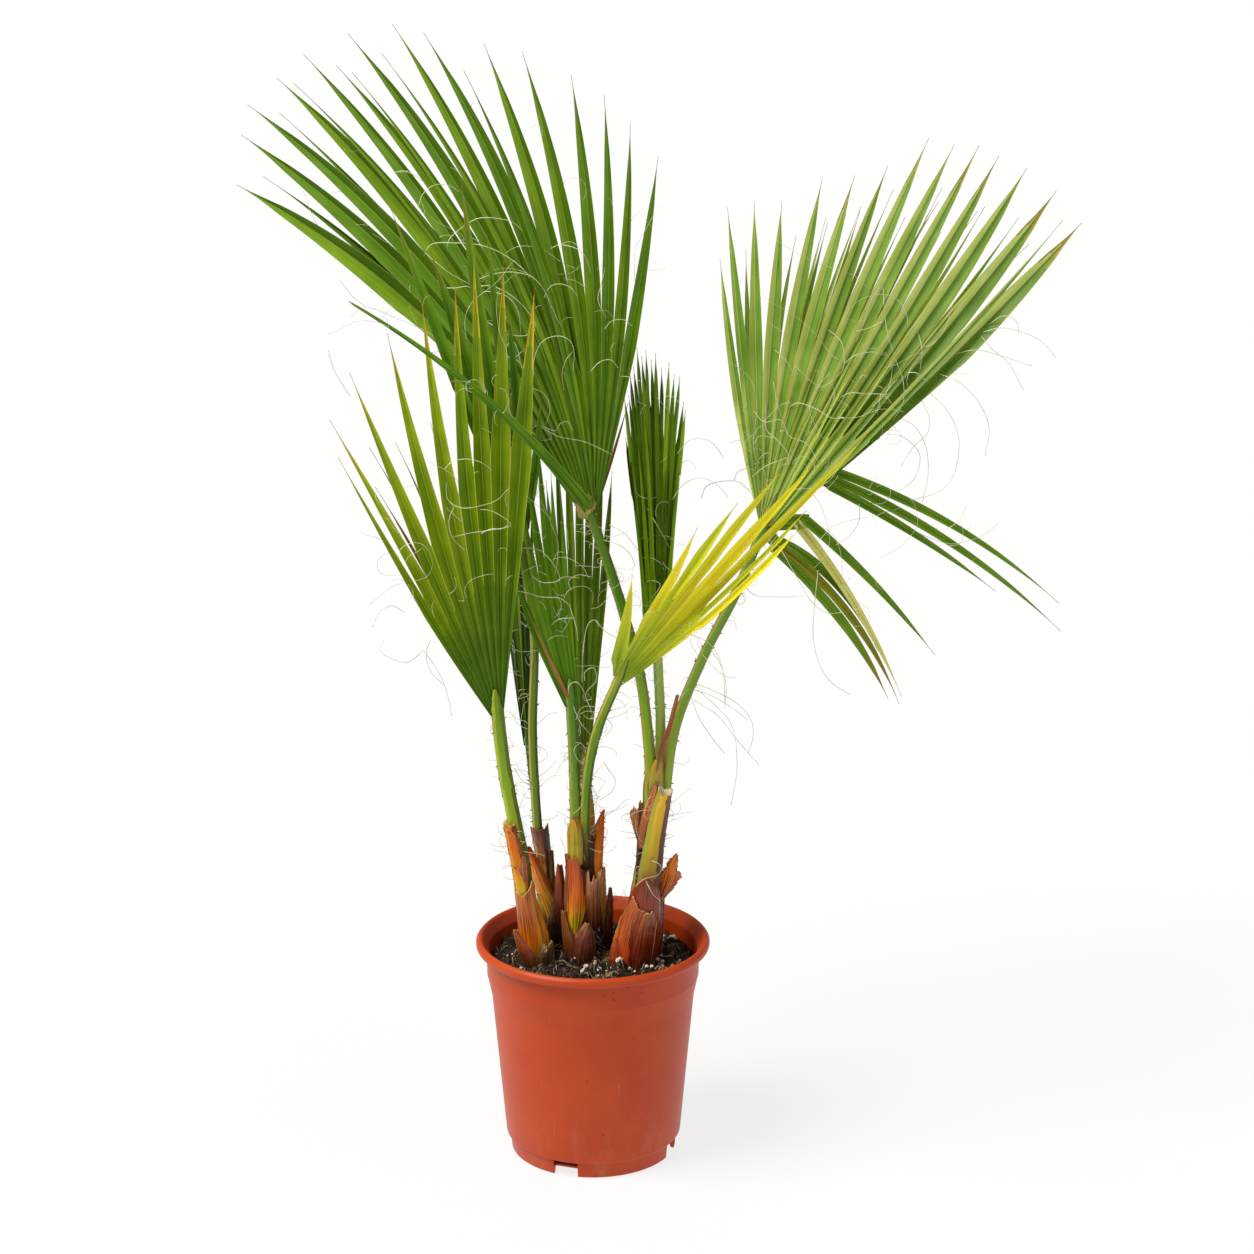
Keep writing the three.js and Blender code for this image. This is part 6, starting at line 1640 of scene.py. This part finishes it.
# Long curls as the photo shows them: the pixels that each passes through, by what carries it.
curlsInPhoto = {
    "leaf_top_left": [
        [(473, 283), (487, 276), (509, 272), (530, 276), (542, 287)],
        [(447, 252), (449, 240), (459, 230), (476, 219), (494, 218), (512, 222), (523, 231)],
        [(424, 256), (432, 244), (455, 243), (480, 245), (501, 253), (521, 267), (530, 278)],
        [(418, 208), (423, 194), (435, 185), (450, 186), (459, 192)],
        [(394, 173), (403, 171), (414, 175), (425, 183)],
        [(550, 249), (560, 245), (575, 248), (585, 256), (591, 274)],
        [(544, 298), (550, 287), (560, 284), (571, 288), (577, 296)],
        [(534, 381), (534, 360), (542, 342), (557, 336), (569, 340), (574, 351), (573, 371)],
        [(575, 349), (566, 360), (562, 374), (564, 390)],
        [(505, 362), (507, 346), (514, 342), (519, 355), (521, 365), (530, 385)],
        [(484, 373), (494, 362), (509, 357), (519, 362), (526, 374), (532, 389)],
        [(507, 399), (516, 390), (530, 388), (544, 394), (550, 408), (546, 424)],
        [(482, 320), (491, 324), (501, 333), (523, 336), (534, 331), (535, 321)],
        [(475, 287), (491, 286), (509, 294), (523, 306), (532, 317)],
        [(480, 292), (494, 292), (509, 298), (518, 312), (521, 335)],
        [(444, 288), (456, 288), (469, 287), (476, 300)], [(425, 253), (438, 264), (451, 274), (471, 285)],
        [(530, 428), (541, 426), (555, 431), (560, 424), (568, 422), (573, 431)],
        [(532, 424), (546, 430), (560, 437), (585, 442), (611, 454)],
        [(532, 432), (540, 440), (552, 438), (545, 428)],
        [(469, 419), (476, 431), (487, 437), (498, 431), (501, 419)],
        [(351, 317), (366, 307), (398, 319), (425, 331), (455, 351)], [(339, 279), (352, 296), (366, 307)],
        [(328, 350), (333, 368), (342, 384), (350, 396)], [(605, 268), (601, 285), (598, 300), (606, 318)],
        [(604, 330), (612, 321), (624, 320), (632, 326)], [(590, 372), (600, 362), (611, 360), (618, 368)],
    ],
    "leaf_right": [
        [(883, 287), (886, 326), (895, 358), (903, 381), (903, 403), (893, 420)],
        [(881, 285), (871, 301), (862, 328), (856, 342)],
        [(838, 399), (850, 393), (866, 394), (883, 395), (895, 407)], [(881, 393), (879, 404), (877, 416)],
        [(903, 373), (916, 373), (926, 381)], [(854, 332), (869, 328), (883, 321)],
        [(826, 328), (840, 340), (844, 354), (842, 371), (826, 385), (816, 385), (795, 366)],
        [(842, 366), (854, 356), (873, 352), (887, 356)],
        [(789, 407), (799, 403), (816, 409), (832, 418), (846, 418)], [(775, 350), (787, 362), (792, 372)],
        [(752, 409), (764, 422), (781, 420), (789, 436), (807, 444), (818, 462)],
        [(766, 399), (766, 428), (775, 438), (787, 452), (789, 466)], [(754, 444), (760, 436), (773, 438)],
        [(773, 379), (777, 403), (783, 420)], [(752, 477), (766, 466), (789, 457)],
        [(918, 332), (922, 350), (920, 371)], [(940, 374), (960, 383), (979, 403), (989, 428), (985, 456)],
        [(930, 393), (946, 409), (956, 428), (959, 450), (952, 479), (936, 493), (911, 500)],
        [(901, 418), (916, 428), (926, 448), (928, 475), (922, 503)],
        [(887, 434), (901, 436), (916, 448), (920, 460), (914, 479), (899, 492)],
        [(983, 332), (1001, 328), (1022, 332), (1042, 342), (1056, 358)],
        [(988, 325), (1003, 316), (1016, 321), (1019, 334)],
        [(981, 336), (993, 350), (1009, 364), (1024, 391)],
        [(954, 354), (975, 350), (995, 354), (1032, 366)],
        [(922, 401), (929, 418), (927, 434), (914, 446), (901, 466)],
        [(936, 528), (944, 530), (960, 520), (966, 505)], [(745, 586), (754, 595), (775, 597), (804, 596)],
        [(818, 570), (814, 610), (813, 636), (818, 661), (830, 681), (850, 695)],
        [(779, 546), (796, 576), (811, 601), (827, 613), (843, 612)],
        [(701, 499), (707, 486), (725, 481), (741, 483), (752, 495)],
        [(734, 481), (738, 472), (746, 469), (755, 470)], [(859, 504), (859, 520), (850, 535), (836, 545)],
    ],
    "leaf_spear": [
        [(646, 591), (646, 582), (655, 581), (660, 586), (651, 599), (644, 609)],
        [(642, 558), (651, 558), (660, 563), (666, 574)], [(646, 507), (654, 520), (662, 534), (673, 554)],
        [(676, 455), (690, 440), (707, 440), (716, 447), (723, 457)],
        [(672, 500), (684, 484), (700, 478), (716, 484), (728, 497)],
    ],
    "petioles": [
        [(686, 634), (700, 638), (714, 649), (723, 672), (725, 708)],
        [(695, 690), (714, 697), (729, 706), (748, 720)], [(700, 651), (711, 665), (725, 676), (736, 678)],
        [(687, 681), (712, 690), (735, 702), (750, 718), (753, 736), (748, 754)],
        [(689, 691), (698, 716), (712, 738), (725, 754)], [(694, 700), (718, 716), (737, 740), (759, 765)],
        [(707, 645), (721, 666), (726, 686), (725, 702)],
        [(731, 805), (734, 790), (737, 770), (736, 742), (730, 722), (716, 706), (698, 690)],
    ],
    "leaf_middle": [
        [(582, 682), (583, 652), (587, 627), (594, 620), (599, 627)],
        [(521, 548), (539, 550), (551, 561), (559, 575), (559, 582)],
        [(531, 575), (541, 582), (555, 582), (564, 577), (580, 578)],
        [(516, 591), (528, 593), (541, 597), (559, 598), (568, 604)],
        [(571, 590), (569, 581), (578, 575), (592, 577)], [(551, 625), (560, 619), (575, 618)],
        [(569, 604), (576, 627), (578, 641)],
        [(569, 700), (569, 686), (576, 682), (582, 688), (587, 700), (592, 713)],
        [(585, 681), (585, 672), (594, 668), (596, 681), (587, 691), (585, 700), (592, 699)],
        [(573, 706), (580, 722), (591, 735)], [(591, 718), (605, 718), (612, 727), (605, 736)],
        [(596, 620), (605, 631), (618, 639)], [(603, 540), (619, 545), (630, 554), (635, 566)],
        [(609, 525), (625, 534), (639, 552)],
    ],
    "leaf_front_left": [
        [(480, 534), (491, 529), (501, 529), (509, 524)],
        [(444, 470), (452, 462), (466, 459), (480, 462), (492, 470)],
        [(446, 482), (448, 500), (462, 508), (480, 506), (497, 500), (509, 488)],
        [(478, 509), (494, 512), (511, 525), (490, 530), (470, 533), (453, 537)],
        [(455, 505), (449, 520), (452, 537), (464, 550)], [(370, 604), (380, 596), (390, 588), (399, 584)],
        [(372, 627), (380, 612), (392, 606), (404, 612)],
        [(424, 650), (408, 662), (390, 658), (380, 650), (384, 640)],
        [(423, 650), (436, 668), (446, 690), (452, 716)], [(430, 640), (426, 655), (431, 672), (444, 685)],
    ],
    "sheaths": [
        [(511, 789), (518, 783), (527, 783), (534, 789), (540, 797)],
        [(514, 768), (522, 780), (533, 788), (540, 797)],
        [(573, 814), (580, 808), (584, 797), (580, 784), (583, 778)],
        [(582, 786), (586, 795), (596, 799), (600, 796)],
        [(603, 762), (608, 769), (615, 780), (612, 791), (600, 800)], [(593, 769), (591, 783), (597, 797)],
        [(503, 786), (504, 800), (511, 809)],
        [(641, 860), (652, 861), (661, 866), (658, 875), (644, 879), (635, 887)],
        [(648, 846), (655, 855), (661, 864)], [(646, 881), (652, 893), (660, 901)],
        [(585, 838), (589, 841), (594, 843)], [(585, 843), (584, 855), (587, 866)],
    ],
}
curlDetail = {"steps": 22, "radius": 0.44, "clear": 1.5, "lift": 5}


def seenAt(points):
    # World millimetres to photo pixels: across and up, over the depth along the lens, by the focal length.
    tilt = math.radians(photoCamera["tiltDown"])
    x, y, z = np.moveaxis(points - np.array(photoCamera["place"]) / mm, -1, 0)
    depth = y * math.cos(tilt) - z * math.sin(tilt)
    rise = y * math.sin(tilt) + z * math.cos(tilt)
    return photoSize / 2 + photoFocal * np.stack([x, -rise], axis=-1) / depth[..., None]


def placedAt(pixels, depth):
    # The point where a pixel's line of sight reaches a depth y, in millimetres.
    tilt = math.radians(photoCamera["tiltDown"])
    across, rise = (pixels[:, 0] - photoSize / 2) / photoFocal, (photoSize / 2 - pixels[:, 1]) / photoFocal
    sight = np.stack(
        [across, math.cos(tilt) + rise * math.sin(tilt), rise * math.cos(tilt) - math.sin(tilt)], axis=-1
    )
    camera = np.array(photoCamera["place"]) / mm
    return camera + sight * ((depth - camera[1]) / sight[:, 1])[:, None]


def tracedCurls():
    # Each curl is a spline through its pixels, set just in front of the surface behind them.
    carriers = {**leafFronts, "petioles": limbSurface, "sheaths": np.array(sheathEdges)}
    t = np.linspace(0, 1, curlDetail["steps"] + 1)
    paths = []
    for name, curls in curlsInPhoto.items():
        surface = carriers[name].reshape(-1, 3)
        seen = seenAt(surface)
        for curl in curls:
            pixels = smoothPath(curl, curlDetail["steps"])
            nearest = np.argmin(((seen[None] - pixels[:, None]) ** 2).sum(axis=-1), axis=1)
            depth = np.polyval(np.polyfit(t, surface[nearest, 1], 2), t)
            proud = curlDetail["clear"] + np.maximum(depth - surface[nearest, 1], 0).max()
            lift = proud * (1 - np.exp(-8 * t)) + curlDetail["lift"] * np.sin(np.pi * t)
            paths.append(placedAt(pixels, depth - lift))
    return tubes(paths, curlDetail["radius"] * np.linspace(1, 0.75, len(t)))


def makeThreads():
    # Threads start at random rows of the leaflets' margins: long ones at any angle, short ones aslant.
    rng = np.random.default_rng(threadSeed)
    parts = [tracedCurls()]
    for node, (longCount, shortCount, span, reach) in threadCounts.items():
        front = leafFronts[node]
        rows = front.shape[1] - 1
        for kind, count in (("long", longCount), ("short", shortCount)):
            leaflet = rng.integers(0, front.shape[0], count)
            row = (rng.uniform(*span, count) * rows).astype(int)
            side = rng.choice((0, front.shape[2] - 1), count)
            starts = front[leaflet, row, side]
            along = front[leaflet, np.minimum(row + 2, rows), side] - starts
            upward = np.arctan2(along[:, 2], along[:, 0])
            if kind == "long":
                headings = upward + rng.normal(0, 1.0, count)
                lengths = mostlyShort(rng, reach, count, 1.6)
            else:
                headings = upward + rng.choice((-1, 1), count) * rng.uniform(0.3, 1.3, count)
                lengths = rng.uniform(*shortThread, count)
            parts.append(wandering(rng, kind, starts, headings, lengths))
    makePiece("palmThreads", parts, [threadFibre])


makeThreads()

# Spines: hard curved teeth on the petiole margins. Hairs: fine curled fibres from the same margins.
# Their roots stand at a share of the half width, inset, with one for every so many mm of limb and side.
# Rise below 1 puts more of the hairs near the leaf.
spineDetail = {"every": 30, "inset": 0.93, "length": (1.6, 3.8), "radius": 0.7, "hook": 0.35, "seed": 300}
hairDetail = {"every": 13, "inset": 0.9, "rise": 0.55, "length": (4, 34)}
spineBrown = streakyLook("spineBrown", "#8a4a22", "#5a2a12", (2, 4), 0.5, 0.1)
paleHair = streakyLook("paleHair", "#efe9cf", "#cfc49c", (2, 8), 0.7, 0.1)


def makeSpines():
    # A spine goes out from the margin by t and hooks along the limb by hook t^2, t being its share of length.
    spines, hairs = [], []
    for seed, limb in enumerate({**petioles, **stubs}.values()):
        rng = np.random.default_rng(spineDetail["seed"] + seed)
        _, centre, along, across, width, _ = limbRings(limb, seed)
        height = np.linalg.norm(centre[-1] - centre[0])
        for side in (-1, 1):
            count = int(height / spineDetail["every"])
            row = rng.integers(2, len(centre) - 4, count)
            base = centre[row] + side * across[row] * width[row] * spineDetail["inset"]
            tilt = rng.uniform(-0.9, 1.2, count)[:, None]
            out = side * across[row] * np.cos(tilt) + along[row] * np.sin(tilt)
            hook = along[row] * rng.choice((-1, 1), count)[:, None] * spineDetail["hook"]
            length = rng.uniform(*spineDetail["length"], count)[:, None]
            path = [base + (out * t + hook * t**2) * length for t in (-0.1, 0.25, 0.55, 0.8, 1.0)]
            taper = spineDetail["radius"] * np.array([1.3, 1, 0.65, 0.35, 0.06])
            spines.append(tubes(np.stack(path, axis=1), taper, 5))
            count = int(height / hairDetail["every"])
            row = 2 + ((len(centre) - 6) * rng.random(count) ** hairDetail["rise"]).astype(int)
            base = centre[row] + side * across[row] * width[row] * hairDetail["inset"]
            heading = np.arctan2(along[row, 2], along[row, 0]) - side * rng.uniform(0.2, 2.2, count)
            length = mostlyShort(rng, hairDetail["length"], count, 2)
            hairs.append(wandering(rng, "hair", base, heading, length))
    makePiece("petioleSpines", spines, [spineBrown])
    makePiece("petioleHairs", hairs, [paleHair])


makeSpines()

# Fibres torn from the sheath margins.
sheathFibres = {"perSheath": 5, "length": (4, 20), "seed": 60}


def makeSheathFibres():
    # Fibres start at random rows of the sheaths' side edges and go up and outwards.
    rng = np.random.default_rng(sheathFibres["seed"])
    parts = []
    for outer in sheathEdges:
        count = sheathFibres["perSheath"]
        row = rng.integers(4, outer.shape[0] - 1, count)
        side = rng.choice((0, outer.shape[1] - 1), count)
        heading = np.where(side == 0, 2.4, 0.75) + rng.normal(0, 0.8, count)
        length = mostlyShort(rng, sheathFibres["length"], count, 2)
        parts.append(wandering(rng, "fibre", outer[row, side], heading, length))
    look = streakyLook("sheathFibre", "#a07c50", "#5e4026", (2, 8), 0.75, 0.1)
    makePiece("sheathFibres", parts, [look])


makeSheathFibres()
print("threads, spines, hairs and fibres")
